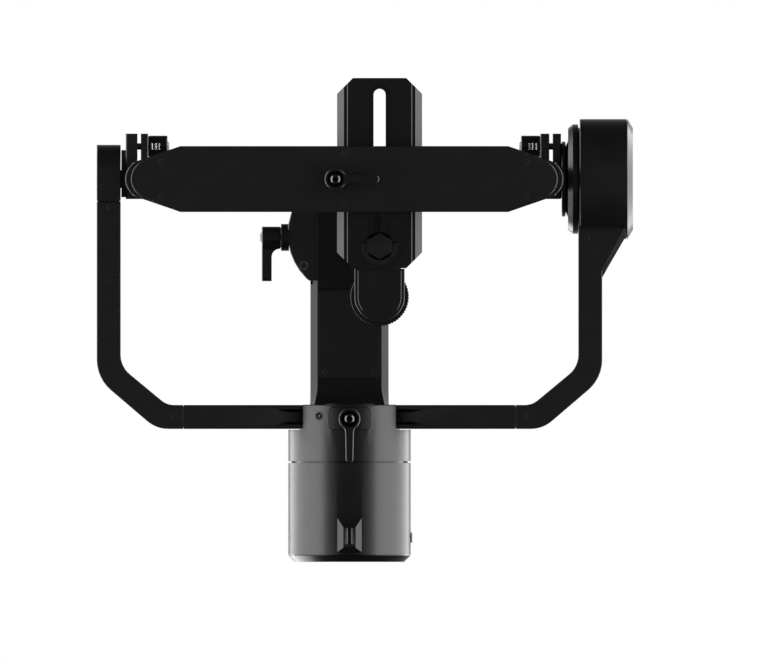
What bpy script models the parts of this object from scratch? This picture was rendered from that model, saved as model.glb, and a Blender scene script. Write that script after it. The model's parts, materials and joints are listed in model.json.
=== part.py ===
"""Three-axis camera gimbal, in metres.

+Z is up, towards the aircraft. -Y is the way the camera looks. The origin is the centre of the
flat top of the quick-release mount, on the pan axis, and the gimbal hangs below it.
"""

import math

import bmesh
import bpy
from mathutils import Matrix, Vector

# Driving dimensions
GAP = 0.0003  # left between pieces that touch
ROUND = 40  # sides of a large round piece
CORE_ROUND = 24  # sides of a motor's core and magnets
SMALL_ROUND = 16  # sides of a small round piece

MOUNT_THICKNESS = 0.0085
PAN_GAP_Z = -0.0315  # middle of the gap between the pan motor's stator and rotor
CLAMP_DEPTH = 0.0318  # length of a rotor and its clamp, from the motor's gap to the open face
BAR_THICKNESS = 0.0133  # section of the arms, the thin way
BAR_HALF = 0.019  # half of the arms' section, the wide way
PAN_ARM_HALF = 0.0217  # half of the pan arm's width
PAN_ARM_SLOPE = 0.0039  # chamfer along the pan arm's lower edges, which the clamp grips
ARM_LOW_Z = PAN_GAP_Z - CLAMP_DEPTH  # underside of the pan arm
ROLL_Z = ARM_LOW_Z - 0.105  # height of the roll axis and the tilt axis
PAN_RADIUS = 0.031
CLAMP_RADIUS = 0.0344
ROLL_RADIUS = 0.034
TILT_RADIUS = 0.0333
ROLL_GAP_Y = 0.1265
ROLL_LENGTH = 0.0515  # of the roll stator's housing, to its back cover
TILT_Y = -0.0305
TILT_GAP_X = 0.1274
LEG_IN = 0.1270  # inner faces of the U-arm's legs
LEG_OUT = LEG_IN + BAR_THICKNESS
BAR_Y = (ROLL_GAP_Y - CLAMP_DEPTH) + 0.0002  # front face of the U-arm's centre bar
BAR_SPLIT = 0.092  # where the centre bar meets the side arms
CHANNEL_HALF = 0.041  # half length of the grooves that the clamps' jaws run in
CLAMP_FLAT = 0.0258  # half width of a clamp where its bar comes out
CAGE_X = -0.0029  # middle of the camera cage
CROSSBAR_Z = ROLL_Z - 0.080  # lowest face of the crossbar
CROSSBAR_HALF = 0.0183
CROSSBAR_END = 0.1107  # from the cage's middle to the centre of an end arc
RAIL_OFFSET = 0.1143  # from the cage's middle to the middle of a rail
RAIL_TOP = ROLL_Z + 0.042
PLATE_X = 0.0167  # middle of the camera plate
PLATE_Z = CROSSBAR_Z + 0.0183  # underside of the camera plate
PLATE_FRONT, PLATE_REAR = -0.0866, 0.0190
SCREW_Y = 0.0068  # camera screw
WHEEL_Y = 0.0348  # thumb wheel

PAN_AT = Vector((0, 0, PAN_GAP_Z))
ROLL_AT = Vector((0, ROLL_GAP_Y, ROLL_Z))
TILT_AT = Vector((TILT_GAP_X, TILT_Y, ROLL_Z))
JAW_Y = 0.1026  # roll jaw and its lever
PAN_LEVER_Z = ARM_LOW_Z + 0.0066
PAN_LEVER_Y = 0.0019
HUB_Y = -0.0486  # levers of the two clamps on the tilt axis
CAGE_LEVER_X = -0.0078
ARM_EDGE = 0.0003  # chamfer along the U-arm's edges

# Finishes: colour, metallic, roughness
ANODISED = ((0.018, 0.018, 0.019, 1), 0.9, 0.42)
ANODISED_SATIN = ((0.022, 0.022, 0.023, 1), 0.9, 0.34)
STEEL = ((0.55, 0.55, 0.54, 1), 1.0, 0.28)
BLACK_STEEL = ((0.03, 0.03, 0.031, 1), 0.9, 0.35)
LAMINATION = ((0.32, 0.32, 0.33, 1), 0.9, 0.45)
MAGNET = ((0.45, 0.45, 0.46, 1), 1.0, 0.30)
BOARD = ((0.02, 0.09, 0.05, 1), 0.0, 0.5)
PLASTIC = ((0.02, 0.02, 0.021, 1), 0.0, 0.5)
RUBBER = ((0.015, 0.015, 0.015, 1), 0.0, 0.85)

X_AXIS = Matrix.Rotation(math.pi / 2, 3, "Y")  # turns a piece's own Z to +X
Y_AXIS = Matrix.Rotation(-math.pi / 2, 3, "X")  # turns a piece's own Z to +Y
Z_AXIS = Matrix.Identity(3)

frames = {}  # name of a moving group: (its empty, where its joint is)


# Building blocks


def clear_scene():
    for obj in list(bpy.data.objects):
        bpy.data.objects.remove(obj, do_unlink=True)


def group(name, at, parent=None):
    """An empty on the joint that moves a group of pieces."""
    empty = bpy.data.objects.new("group_" + name, None)
    bpy.context.scene.collection.objects.link(empty)
    origin = Vector((0, 0, 0))
    if parent:
        empty.parent, origin = frames[parent]
    empty.location = Vector(at) - origin
    frames[name] = (empty, Vector(at))


def finish_of(name, look):
    colour, metallic, roughness = look
    material = bpy.data.materials.new(name)
    material.use_nodes = True
    shader = material.node_tree.nodes["Principled BSDF"]
    shader.inputs["Base Color"].default_value = colour
    shader.inputs["Metallic"].default_value = metallic
    shader.inputs["Roughness"].default_value = roughness
    return material


def piece(name, bm, body, at, turn, look):
    """Makes an object of bm. With no look it is a helper for a Boolean."""
    bmesh.ops.recalc_face_normals(bm, faces=bm.faces)
    mesh = bpy.data.meshes.new(name)
    bm.to_mesh(mesh)
    bm.free()
    mesh.shade_smooth()
    mesh.set_sharp_from_angle(angle=math.radians(32))
    obj = bpy.data.objects.new(name, mesh)
    bpy.context.scene.collection.objects.link(obj)
    obj.parent, origin = frames[body]
    obj.location = Vector(at) - origin
    obj.rotation_euler = turn.to_euler()
    if look:
        mesh.materials.append(finish_of(name, look))
    else:
        obj.hide_render = True
        obj.display_type = "WIRE"
    return obj


def turned(name, body, profile, at, turn, look=None, sides=ROUND, wave=None):
    """A turned piece. The profile's (radius, height) points start and end on the axis, or close a ring.

    wave, if given, scales the radii above wave[0] by wave[1](side number).
    """
    bm = bmesh.new()
    rings = []
    for radius, height in profile:
        if radius == 0:
            rings.append([bm.verts.new((0, 0, height))])
            continue
        ring = []
        for side in range(sides):
            angle = 2 * math.pi * side / sides
            reach = radius
            if wave and radius > wave[0]:
                reach *= wave[1](side)
            ring.append(bm.verts.new((reach * math.cos(angle), reach * math.sin(angle), height)))
        rings.append(ring)
    pairs = list(zip(rings, rings[1:]))
    if len(rings[0]) > 1:
        pairs.append((rings[-1], rings[0]))
    for first, second in pairs:
        for side in range(sides):
            after = (side + 1) % sides
            corners = [first[side % len(first)], second[side % len(second)]]
            if len(second) > 1:
                corners.append(second[after])
            if len(first) > 1:
                corners.append(first[after])
            if len(corners) > 2:
                bm.faces.new(corners)
    return piece(name, bm, body, at, turn, look)


def lofted(name, body, sections, look=None):
    """A closed skin over sections, each a ring of the same number of world points."""
    at = Vector(frames[body][1])
    bm = bmesh.new()
    rings = [[bm.verts.new(Vector(point) - at) for point in section] for section in sections]
    for first, second in zip(rings, rings[1:]):
        for i in range(len(first)):
            after = (i + 1) % len(first)
            bm.faces.new((first[i], second[i], second[after], first[after]))
    bm.faces.new(rings[0])
    bm.faces.new(rings[-1])
    return piece(name, bm, body, at, Z_AXIS, look)


def along_x(outline, x):
    return [(x, y, z) for y, z in outline]


def along_y(outline, y):
    return [(x, y, z) for x, z in outline]


def along_z(outline, z):
    return [(x, y, z) for x, y in outline]


def block(name, body, low, high, look=None):
    """A box between two corners."""
    return slab(name, body, rectangle(low[0], low[1], high[0], high[1]), low[2], high[2], look)


def slab(name, body, plan, low, high, look=None):
    """A plan outline in the world's XY, standing from one height to another."""
    return lofted(name, body, [along_z(plan, low), along_z(plan, high)], look)


def rectangle(x0, y0, x1, y1):
    return [(x0, y0), (x1, y0), (x1, y1), (x0, y1)]


def arc(centre, radius, start, end, steps):
    """Points of an arc from start to end, in degrees."""
    points = []
    for i in range(steps + 1):
        angle = math.radians(start + (end - start) * i / steps)
        points.append((centre[0] + radius * math.cos(angle), centre[1] + radius * math.sin(angle)))
    return points


def rounded(corners, radii, steps=5):
    """An outline whose corners are arcs. radii holds one radius for each corner, 0 for a sharp one."""
    outline = []
    for i, (corner, radius) in enumerate(zip(corners, radii)):
        here = Vector(corner)
        if radius == 0:
            outline.append(tuple(here))
            continue
        back = (Vector(corners[i - 1]) - here).normalized()
        on = (Vector(corners[(i + 1) % len(corners)]) - here).normalized()
        half = back.angle(on) / 2
        centre = here + (back + on).normalized() * radius / math.sin(half)
        start = here + back * radius / math.tan(half) - centre
        end = here + on * radius / math.tan(half) - centre
        sweep = start.angle(end)
        for step in range(steps + 1):
            share = step / steps
            spoke = (start * math.sin((1 - share) * sweep) + end * math.sin(share * sweep)) / math.sin(sweep)
            outline.append(tuple(centre + spoke))
    return outline


def boolean(target, helpers, operation):
    for helper in helpers:
        modifier = target.modifiers.new(helper.name, "BOOLEAN")
        modifier.object = helper
        modifier.operation = operation
        modifier.solver = "EXACT"
    return target


def cut(target, *helpers):
    return boolean(target, helpers, "DIFFERENCE")


def join(target, *helpers):
    return boolean(target, helpers, "UNION")


def bore(name, body, at, turn, radius, low, high, sides=SMALL_ROUND):
    """A cutter for a round hole."""
    return turned(name, body, [(0, low), (radius, low), (radius, high), (0, high)], at, turn, None, sides)


# Motors: local heights run along the axis, 0 at the gap, positive into the stator


def stator_and_bearing(prefix, body, rotor_body, at, turn, bell):
    """Core, magnets and bearing of one motor. bell is the rotor bell's inner radius."""
    tooth = bell - 0.0023
    slot = 0.66

    def teeth(side):
        return 1.0 if side % 3 < 2 else slot

    core = [(0.0115, 0.0175), (tooth, 0.0175), (tooth, 0.0055), (0.0115, 0.0055)]
    turned(prefix + "_stator", body, core, at, turn, LAMINATION, CORE_ROUND, (0.012, teeth))
    ring = [(bell - 0.0019, 0.0180), (bell - GAP, 0.0180), (bell - GAP, 0.0050), (bell - 0.0019, 0.0050)]
    turned(prefix + "_magnets", rotor_body, ring, at, turn, MAGNET, CORE_ROUND)
    bearing = [(0.0053, 0.0180), (0.0081, 0.0180), (0.0081, 0.0060), (0.0053, 0.0060)]
    turned(prefix + "_bearing", body, bearing, at, turn, STEEL, SMALL_ROUND)


SHAFT = [(0.0050, 0.0025), (0.0050, 0.0210), (0.0036, 0.0210), (0.0036, -0.0060), (0, -0.0060)]


def rotor_profile(front, back, bell, step):
    """Clamp body, bell and hollow shaft. The clamp's radius, front, gives way to the motor's at step."""
    edge = 0.0005
    outer = [(0, -CLAMP_DEPTH), (front - edge, -CLAMP_DEPTH), (front, -CLAMP_DEPTH + edge)]
    if front != back:
        outer += [(front, step), (back, step)]
    outer += [(back, -0.0010), (back - edge, -0.0005)]
    return outer + [
        (bell + 0.0016, -0.0005),
        (bell + 0.0016, 0.0190),
        (bell, 0.0190),
        (bell, 0.0025),
    ] + SHAFT


def make_mount():
    outline = [(-0.020, -MOUNT_THICKNESS), (0.020, -MOUNT_THICKNESS), (0.020, -0.0048), (0.024, -0.0008)]
    outline += [(0.0232, 0), (-0.0232, 0), (-0.024, -0.0008), (-0.020, -0.0048)]
    ends = [along_y(outline, -0.0235), along_y(outline, 0.0235)]
    plate = lofted("mount_plate", "mount", ends, ANODISED_SATIN)
    for i, (x, y) in enumerate([(-0.015, -0.017), (0.015, -0.017), (-0.015, 0.017), (0.015, 0.017)]):
        cut(plate, bore(f"mount_hole_{i}", "mount", (x, y, 0), Z_AXIS, 0.0016, -0.010, 0.002, 16))
    housing = [(0.0288, 0.0005), (PAN_RADIUS, 0.0005), (PAN_RADIUS, 0.0202), (PAN_RADIUS - 0.0025, 0.0227)]
    housing += [(0.0056, 0.0227), (0.0056, 0.0195), (0.0084, 0.0195), (0.0084, 0.0040), (0.0112, 0.0040)]
    housing += [(0.0112, 0.0200), (0.0288, 0.0200)]
    turned("pan_housing", "mount", housing, PAN_AT, Z_AXIS, ANODISED)
    stator_and_bearing("pan", "mount", "pan_clamp", PAN_AT, Z_AXIS, 0.0268)
    slip_ring = [(0, 0.0222), (0.0045, 0.0222), (0.0045, 0.0214), (0.0031, 0.0214), (0.0031, -0.0050)]
    slip_ring.append((0, -0.0050))
    turned("slip_ring", "mount", slip_ring, PAN_AT, Z_AXIS, PLASTIC, SMALL_ROUND)


def make_pan_clamp():
    step = -(CLAMP_DEPTH - BAR_THICKNESS - 0.0007)
    profile = rotor_profile(CLAMP_RADIUS, PAN_RADIUS, 0.0268, step)
    clamp = turned("pan_clamp", "pan_clamp", profile, PAN_AT, Z_AXIS, ANODISED)
    spill = 0.001  # how far a cutter stands outside the piece
    low, high = PAN_GAP_Z - CLAMP_DEPTH - spill, PAN_GAP_Z + step
    wide = PAN_ARM_HALF + 0.0004
    narrow = wide - PAN_ARM_SLOPE
    slope_top = ARM_LOW_Z + PAN_ARM_SLOPE
    channel = [(-narrow, low), (narrow, low), (narrow, ARM_LOW_Z), (wide, slope_top), (wide, high)]
    channel += [(-wide, high), (-wide, slope_top), (-narrow, ARM_LOW_Z)]
    cut(
        clamp,
        lofted("pan_channel", "pan_clamp", [along_y(channel, -0.04), along_y(channel, 0.04)]),
        block("pan_flat_front", "pan_clamp", (-0.04, -0.05, low), (0.04, -CLAMP_FLAT, high - GAP)),
        block("pan_flat_rear", "pan_clamp", (-0.04, CLAMP_FLAT, low), (0.04, 0.05, high - GAP)),
        block("pan_corner", "pan_clamp", (-0.04, -0.05, low), (-0.0297, -0.0111, high - GAP)),
    )
    at = (-CLAMP_RADIUS, PAN_LEVER_Y, PAN_LEVER_Z)
    cut(
        clamp,
        bore("pan_jaw_bore", "pan_clamp", at, X_AXIS, 0.0055, -0.006, 0.015),
        bore("pan_collar_seat", "pan_clamp", at, X_AXIS, 0.0078, -0.006, 0.0011, ROUND),
    )
    # The jaw's nose reaches into the groove along the arm's side.
    nose = [(0, 0.0155), (0.0026, 0.0155), (0.0032, 0.0148), (0.0032, 0.0118), (0.0051, 0.0100)]
    nose += [(0.0051, 0.0008), (0.0075, 0.0008), (0.0075, -0.0036), (0, -0.0036)]
    jaw = turned("pan_jaw", "pan_clamp", nose, at, X_AXIS, ANODISED_SATIN, CORE_ROUND)
    cut(jaw, bore("pan_jaw_thread", "pan_clamp", at, X_AXIS, 0.0022, -0.006, 0.008))
    clamp_lever("pan", "pan_lever", Vector(at) - Vector((0.0039, 0, 0)), (-1, 0, 0), (0, 1, 0))


def clamp_lever(prefix, body, base, out, handle, bolt=0.010):
    """A clamp lever and its bolt. base is under the hub's middle, out its axis, handle the way it points."""
    hub, tall, under = 0.00625, 0.0104, 0.0049
    out, handle = Vector(out), Vector(handle)
    turn = Matrix((handle, out.cross(handle), out)).transposed()
    outline = arc((0, 0), hub, 44, 316, 14)
    outline += [(0.0066, -0.0026), (0.0082, -0.00235)]
    outline += arc((0.0222, 0), 0.0021, -90, 90, 4)
    outline += [(0.0082, 0.00235), (0.0066, 0.0026)]
    side = [(-0.008, 0), (0.0063, 0)] + arc((0.0109, 0.0003), 0.0046, 180, 90, 4)
    side += [(0.026, under), (0.026, tall), (-0.008, tall)]
    name = prefix + "_lever"
    lever = prism(name, body, outline, 0, tall, base, turn, ANODISED_SATIN)
    envelope = prism(name + "_side", body, [(x, -z) for x, z in side], -0.009, 0.009, base, turn @ Y_AXIS)
    boolean(lever, [envelope], "INTERSECT")
    bevel = lever.modifiers.new("bevel", "BEVEL")
    bevel.width = 0.0005
    bevel.segments = 1
    bevel.limit_method = "ANGLE"
    bevel.angle_limit = math.radians(60)
    cut(
        lever,
        bore(name + "_recess", body, base, turn, 0.0041, tall - 0.0020, tall + 0.002),
        bore(name + "_bore", body, base, turn, 0.0022, -0.002, tall, 16),
    )
    profile = [(0, 0.0114), (0.0018, 0.0114), (0.0026, 0.0110), (0.0031, 0.0102), (0.0031, 0.0087)]
    profile += [(0.0018, 0.0087), (0.0018, -bolt), (0, -bolt)]
    screw = turned(prefix + "_lever_bolt", body, profile, base, turn, STEEL, 14)
    cut(screw, bore(name + "_socket", body, base, turn, 0.00145, 0.0098, 0.013, 6))


def prism(name, body, outline, low, high, at, turn, look=None):
    """An outline in a piece's own XY, extruded along its own Z from low to high."""
    bm = bmesh.new()
    rings = [[bm.verts.new((x, y, height)) for x, y in outline] for height in (low, high)]
    for i in range(len(outline)):
        after = (i + 1) % len(outline)
        bm.faces.new((rings[0][i], rings[1][i], rings[1][after], rings[0][after]))
    bm.faces.new(rings[0])
    bm.faces.new(rings[1])
    return piece(name, bm, body, at, turn, look)


def arm_section(along, half, thickness, inner, slope=0.0011):
    """A chamfered section of the pan arm.

    inner is a point on its inner face, along the way on from it, slope the inner face's chamfer.
    """
    edge = 0.0011
    out = Vector((0, -along[1], along[0]))  # from the inner face to the outer one
    corners = [
        (half - slope, 0),
        (half, slope),
        (half, thickness - edge),
        (half - edge, thickness),
        (edge - half, thickness),
        (-half, thickness - edge),
        (-half, slope),
        (slope - half, 0),
    ]
    return [(x, inner[0] + out[1] * lift, inner[1] + out[2] * lift) for x, lift in corners]


def make_pan_arm():
    bend_y, bend = 0.081, 0.031
    flare = 0.0080  # growth of the half width over the bend
    bend_z = ARM_LOW_Z - bend
    start = (-0.0450, ARM_LOW_Z)
    sections = [arm_section((1, 0), PAN_ARM_HALF, BAR_THICKNESS, start, PAN_ARM_SLOPE)]
    steps = 9
    for i in range(steps + 1):
        share = i / steps
        angle = math.pi / 2 * share
        inner = (bend_y + bend * math.sin(angle), bend_z + bend * math.cos(angle))
        half = PAN_ARM_HALF + flare * share ** 3
        thickness = BAR_THICKNESS + 0.009 * share
        slope = max(0.0011, PAN_ARM_SLOPE * (1 - 2.2 * max(0, share - 0.12)))
        sections.append(arm_section((math.cos(angle), -math.sin(angle)), half, thickness, inner, slope))
    down = (0, -1)
    sections.append(arm_section(down, 0.0315, 0.0245, (0.1120, ROLL_Z + 0.052)))
    sections.append(arm_section(down, 0.0325, 0.0230, (0.1282, ROLL_Z + 0.037)))
    sections.append(arm_section(down, 0.0315, 0.0230, (0.1282, ROLL_Z + 0.016)))
    arm = lofted("pan_arm", "pan_arm", sections, ANODISED)
    low = ARM_LOW_Z - 0.002
    cover = rounded(rectangle(-0.0170, 0.0310, 0.0170, 0.0803), [0.0022] * 4, 3)
    seat = rounded(rectangle(-0.0173, 0.0307, 0.0173, 0.0806), [0.0025] * 4, 3)
    groove_low = (-PAN_ARM_HALF - 0.001, -0.028, PAN_LEVER_Z - 0.0040)
    groove_high = (0.0055 - PAN_ARM_HALF, 0.028, PAN_LEVER_Z + 0.0040)
    cut(
        arm,
        bore("roll_housing_seat", "pan_arm", ROLL_AT, Y_AXIS, ROLL_RADIUS + GAP, -0.01, 0.06, ROUND),
        slab("pan_cover_seat", "pan_arm", seat, low, ARM_LOW_Z + 0.0015),
        block("pan_arm_duct", "pan_arm", (-0.010, 0.036, low), (0.010, 0.070, ARM_LOW_Z + 0.009)),
        block("pan_arm_groove", "pan_arm", groove_low, groove_high),
    )
    slab("pan_arm_cover", "pan_arm", cover, ARM_LOW_Z, ARM_LOW_Z + 0.0012, ANODISED)


def make_roll_motor():
    outer, length = ROLL_RADIUS, ROLL_LENGTH
    profile = [(0.0307, 0.0005), (outer - 0.0004, 0.0005), (outer, 0.0009), (outer, length)]
    profile += [(outer - 0.003, length), (outer - 0.003, 0.0245), (0.0056, 0.0245), (0.0056, 0.0195)]
    profile.append((0.0084, 0.0195))
    profile += [(0.0084, 0.0040), (0.0112, 0.0040), (0.0112, 0.0215), (0.0307, 0.0215)]
    housing = turned("roll_housing", "pan_arm", profile, ROLL_AT, Y_AXIS, ANODISED_SATIN, ROUND)
    button_at = (outer, 0.1685, ROLL_Z)
    cut(housing, bore("button_hole", "pan_arm", button_at, X_AXIS, 0.0033, -0.006, 0.003))
    pocket = [
        along_z(rectangle(-0.0072, 0.1561, 0.0072, 0.1775), ROLL_Z - outer - 0.0005),
        along_z(rectangle(-0.0028, 0.1630, 0.0028, 0.1722), ROLL_Z - outer + 0.0024),
    ]
    cut(housing, lofted("port_pocket", "pan_arm", pocket))
    window = [
        along_z(rectangle(-0.0026, 0.1634, 0.0026, 0.1718), ROLL_Z - outer + 0.0018),
        along_z(rectangle(-0.0026, 0.1634, 0.0026, 0.1718), ROLL_Z - outer + 0.0050),
    ]
    cut(housing, lofted("port_window", "pan_arm", window))
    insert = block(
        "service_port",
        "pan_arm",
        (-0.0023, 0.1637, ROLL_Z - outer + 0.0021),
        (0.0023, 0.1715, ROLL_Z - outer + 0.0080),
        PLASTIC,
    )
    notch = [(-0.0018, -outer), (0.0018, -outer), (0.0018, -outer + 0.0022), (0.0005, -outer + 0.0036)]
    notch += [(-0.0005, -outer + 0.0036), (-0.0018, -outer + 0.0022)]
    notch = [(x, ROLL_Z + z) for x, z in notch]
    cut(insert, lofted("port_notch", "pan_arm", [along_y(notch, 0.1645), along_y(notch, 0.1695)]))
    cover = [(0, length + 0.0040), (outer - 0.0036, length + 0.0040), (outer - 0.0001, length + 0.0005)]
    cover += [(outer - 0.0001, length + GAP), (outer - 0.0036, length + GAP)]
    cover += [(outer - 0.0036, length - 0.0020), (0, length - 0.0020)]
    turned("roll_back_cover", "pan_arm", cover, ROLL_AT, Y_AXIS, ANODISED_SATIN, ROUND)
    disc = [(0, 0.0316), (0.027, 0.0316), (0.027, 0.0300), (0, 0.0300)]
    board = turned("roll_controller", "pan_arm", disc, ROLL_AT, Y_AXIS, BOARD)
    chip_y = ROLL_GAP_Y + 0.0310
    low_corner, high_corner = (-0.014, chip_y, ROLL_Z - 0.004), (0.014, chip_y + 0.008, ROLL_Z + 0.016)
    join(board, block("controller_parts", "pan_arm", low_corner, high_corner))
    stator_and_bearing("roll", "pan_arm", "roll_clamp", ROLL_AT, Y_AXIS, 0.0286)
    button = [(0, 0.0009), (0.0024, 0.0009), (0.0030, 0.0004), (0.0030, -0.0022), (0, -0.0022)]
    turned("power_button", "power_button", button, button_at, X_AXIS, PLASTIC, SMALL_ROUND)


def make_roll_clamp():
    profile = rotor_profile(ROLL_RADIUS, ROLL_RADIUS, 0.0286, 0)
    clamp = turned("roll_clamp", "roll_clamp", profile, ROLL_AT, Y_AXIS, ANODISED_SATIN, ROUND)
    front, back = ROLL_GAP_Y - CLAMP_DEPTH - 0.001, BAR_Y + BAR_THICKNESS + 0.0004
    slot = BAR_HALF + 0.0004
    low, high = ROLL_Z - 0.04, ROLL_Z + 0.04
    cut(
        clamp,
        block("roll_channel", "roll_clamp", (-0.04, front, ROLL_Z - slot), (0.04, back, ROLL_Z + slot)),
        block("roll_flat_left", "roll_clamp", (-0.05, front, low), (-CLAMP_FLAT, back - GAP, high)),
        block("roll_flat_right", "roll_clamp", (CLAMP_FLAT, front, low), (0.05, back - GAP, high)),
    )
    half_x, half_y = 0.0113, 0.0060
    hole_x, hole_y = half_x + GAP, half_y + GAP
    hole = rounded(rectangle(-hole_x, JAW_Y - hole_y, hole_x, JAW_Y + hole_y), [0.0021] * 4, 3)
    cut(clamp, slab("roll_jaw_hole", "roll_clamp", hole, ROLL_Z - 0.036, ROLL_Z - 0.018))
    body = rounded(rectangle(-half_x, JAW_Y - half_y, half_x, JAW_Y + half_y), [0.0018] * 4, 3)
    jaw = slab("roll_jaw", "roll_clamp", body, ROLL_Z - 0.0345, ROLL_Z - 0.0196, ANODISED_SATIN)
    middle = BAR_Y + BAR_THICKNESS / 2
    wedge = [
        along_z(rectangle(-0.010, middle - 0.0036, 0.010, middle + 0.0036), ROLL_Z - 0.0200),
        along_z(rectangle(-0.010, middle - 0.0024, 0.010, middle + 0.0024), ROLL_Z - 0.0163),
    ]
    join(jaw, lofted("roll_jaw_wedge", "roll_clamp", wedge))
    skin = bore("roll_jaw_skin", "roll_clamp", ROLL_AT, Y_AXIS, ROLL_RADIUS - 0.0001, -0.04, 0.01, ROUND)
    boolean(jaw, [skin], "INTERSECT")
    base = Vector((0, JAW_Y, ROLL_Z - 0.0345))
    cut(jaw, bore("roll_jaw_thread", "roll_clamp", base, Z_AXIS, 0.0022, -0.002, 0.013, 16))
    clamp_lever("roll", "roll_lever", base, (0, 0, -1), (0, 1, 0))


def bar_groove(name, body, low_z):
    """The tapered groove along the underside of the U-arm's bar, with sloped ends."""
    middle = BAR_Y + BAR_THICKNESS / 2
    depth = 0.0031
    slope_run = 0.0066  # length of the sloped ends
    mouth = rectangle(-CHANNEL_HALF, middle - 0.0043, CHANNEL_HALF, middle + 0.0043)
    floor_half = CHANNEL_HALF - slope_run
    floor = rectangle(-floor_half, middle - 0.0027, floor_half, middle + 0.0027)
    lip = [(x * 1.012, middle + (y - middle) * 1.1) for x, y in mouth]
    sections = [along_z(lip, low_z - 0.0005), along_z(mouth, low_z), along_z(floor, low_z + depth)]
    return lofted(name, body, sections)


def side_arm_outline(side, leg_end):
    """Plan of one side arm, from the centre bar round the two bends to the leg's end."""
    back = BAR_Y + BAR_THICKNESS
    corners = [
        (BAR_SPLIT + GAP, BAR_Y),
        (0.1013, BAR_Y),
        (LEG_IN, 0.0736),
        (LEG_IN, leg_end),
        (LEG_OUT, leg_end),
        (LEG_OUT, 0.0800),
        (0.1073, back),
        (BAR_SPLIT + GAP, back),
    ]
    radii = [0, 0.011, 0.014, 0, 0, 0.022, 0.018, 0]
    return [(side * x, y) for x, y in rounded(corners, radii, 6)]


def make_roll_arm():
    low, high = ROLL_Z - BAR_HALF, ROLL_Z + BAR_HALF
    section = chamfered(-BAR_HALF, BAR_HALF, BAR_Y, BAR_Y + BAR_THICKNESS, 0.0006)
    section = [(y, ROLL_Z + z) for z, y in section]
    ends = [along_x(section, -BAR_SPLIT), along_x(section, BAR_SPLIT)]
    bar = lofted("roll_bar", "roll_arm", ends, ANODISED)
    cut(bar, bar_groove("roll_bar_groove", "roll_arm", low))
    cap_at = (0, BAR_Y, ROLL_Z)
    cut(bar, bore("roll_cap_seat", "roll_arm", cap_at, Y_AXIS, 0.0146, -0.002, 0.0016, 48))
    cap = [(0, -0.0006), (0.0136, -0.0006), (0.0143, -0.0001), (0.0143, 0.0013), (0, 0.0013)]
    turned("roll_cap", "roll_arm", cap, cap_at, Y_AXIS, BLACK_STEEL, 36)

    end_y = TILT_Y + 0.0122
    left = side_arm_outline(-1, end_y + GAP)
    arm = lofted("left_arm", "roll_arm", stepped(left, low, high, ARM_EDGE), ANODISED)
    seat = ((-0.1370, end_y - 0.001, ROLL_Z - 0.0123), (-0.1303, end_y + 0.0065, ROLL_Z + 0.0123))
    cut(arm, block("left_tenon_seat", "roll_arm", *seat))
    make_left_end(end_y)
    make_right_arm(low, high)


def chamfered(u0, u1, v0, v1, edge):
    """A rectangle with small chamfers, as eight points."""
    return [
        (u0 + edge, v0), (u1 - edge, v0), (u1, v0 + edge), (u1, v1 - edge),
        (u1 - edge, v1), (u0 + edge, v1), (u0, v1 - edge), (u0, v0 + edge),
    ]


def inset(outline, distance):
    """The outline moved inwards by a small distance, with the same number of points."""
    area = sum(a[0] * b[1] - b[0] * a[1] for a, b in zip(outline, outline[1:] + outline[:1]))
    sign = 1 if area > 0 else -1
    moved = []
    for i, here in enumerate(outline):
        before, after = Vector(outline[i - 1]), Vector(outline[(i + 1) % len(outline)])
        here = Vector(here)
        first, second = (here - before).normalized(), (after - here).normalized()
        normals = [Vector((-way[1], way[0])) * sign for way in (first, second)]
        middle = (normals[0] + normals[1]).normalized()
        moved.append(tuple(here + middle * distance / max(0.3, middle.dot(normals[0]))))
    return moved


def stepped(outline, low, high, edge):
    """Sections of a plate with small chamfers on both faces."""
    small = inset(outline, edge)
    levels = [(small, low), (outline, low + edge), (outline, high - edge), (small, high)]
    return [along_z(plan, height) for plan, height in levels]


def end_outline(end_y, radius):
    """Side view of an arm's round end, about the tilt axis."""
    points = [(TILT_Y - y, ROLL_Z + z) for y, z in arc((0, 0), radius, -90, 90, 16)]
    return [(end_y, ROLL_Z - radius)] + points + [(end_y, ROLL_Z + radius)]


def make_left_end(end_y):
    outline = end_outline(end_y, BAR_HALF)
    small = inset(outline, ARM_EDGE)
    sections = [
        along_x(small, -LEG_OUT),
        along_x(outline, -LEG_OUT + ARM_EDGE),
        along_x(outline, -LEG_IN - ARM_EDGE),
        along_x(small, -LEG_IN),
    ]
    end = lofted("left_bearing_housing", "roll_arm", sections, ANODISED)
    at = (-LEG_OUT, TILT_Y, ROLL_Z)
    tenon = ((-0.1367, end_y - 0.004, ROLL_Z - 0.0120), (-0.1306, end_y + 0.0062, ROLL_Z + 0.0120))
    join(end, block("left_tenon", "roll_arm", *tenon))
    cut(
        end,
        bore("left_bearing_seat", "roll_arm", at, X_AXIS, 0.0113, 0.0030, 0.0143, 32),
        bore("left_cap_seat", "roll_arm", at, X_AXIS, 0.0119, -0.001, 0.0015, 32),
        bore("left_spindle_clearance", "roll_arm", at, X_AXIS, 0.0070, 0.0010, 0.0040),
    )
    bearing = [(0.0053, 0.0130), (0.0110, 0.0130), (0.0110, 0.0034), (0.0053, 0.0034)]
    turned("left_bearing", "roll_arm", bearing, at, X_AXIS, STEEL, 32)
    cap = [(0, 0.0012), (0.0116, 0.0012), (0.0116, 0.0004), (0.0112, 0), (0, 0)]
    turned("left_end_cap", "roll_arm", cap, at, X_AXIS, ANODISED_SATIN, 32)


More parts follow.
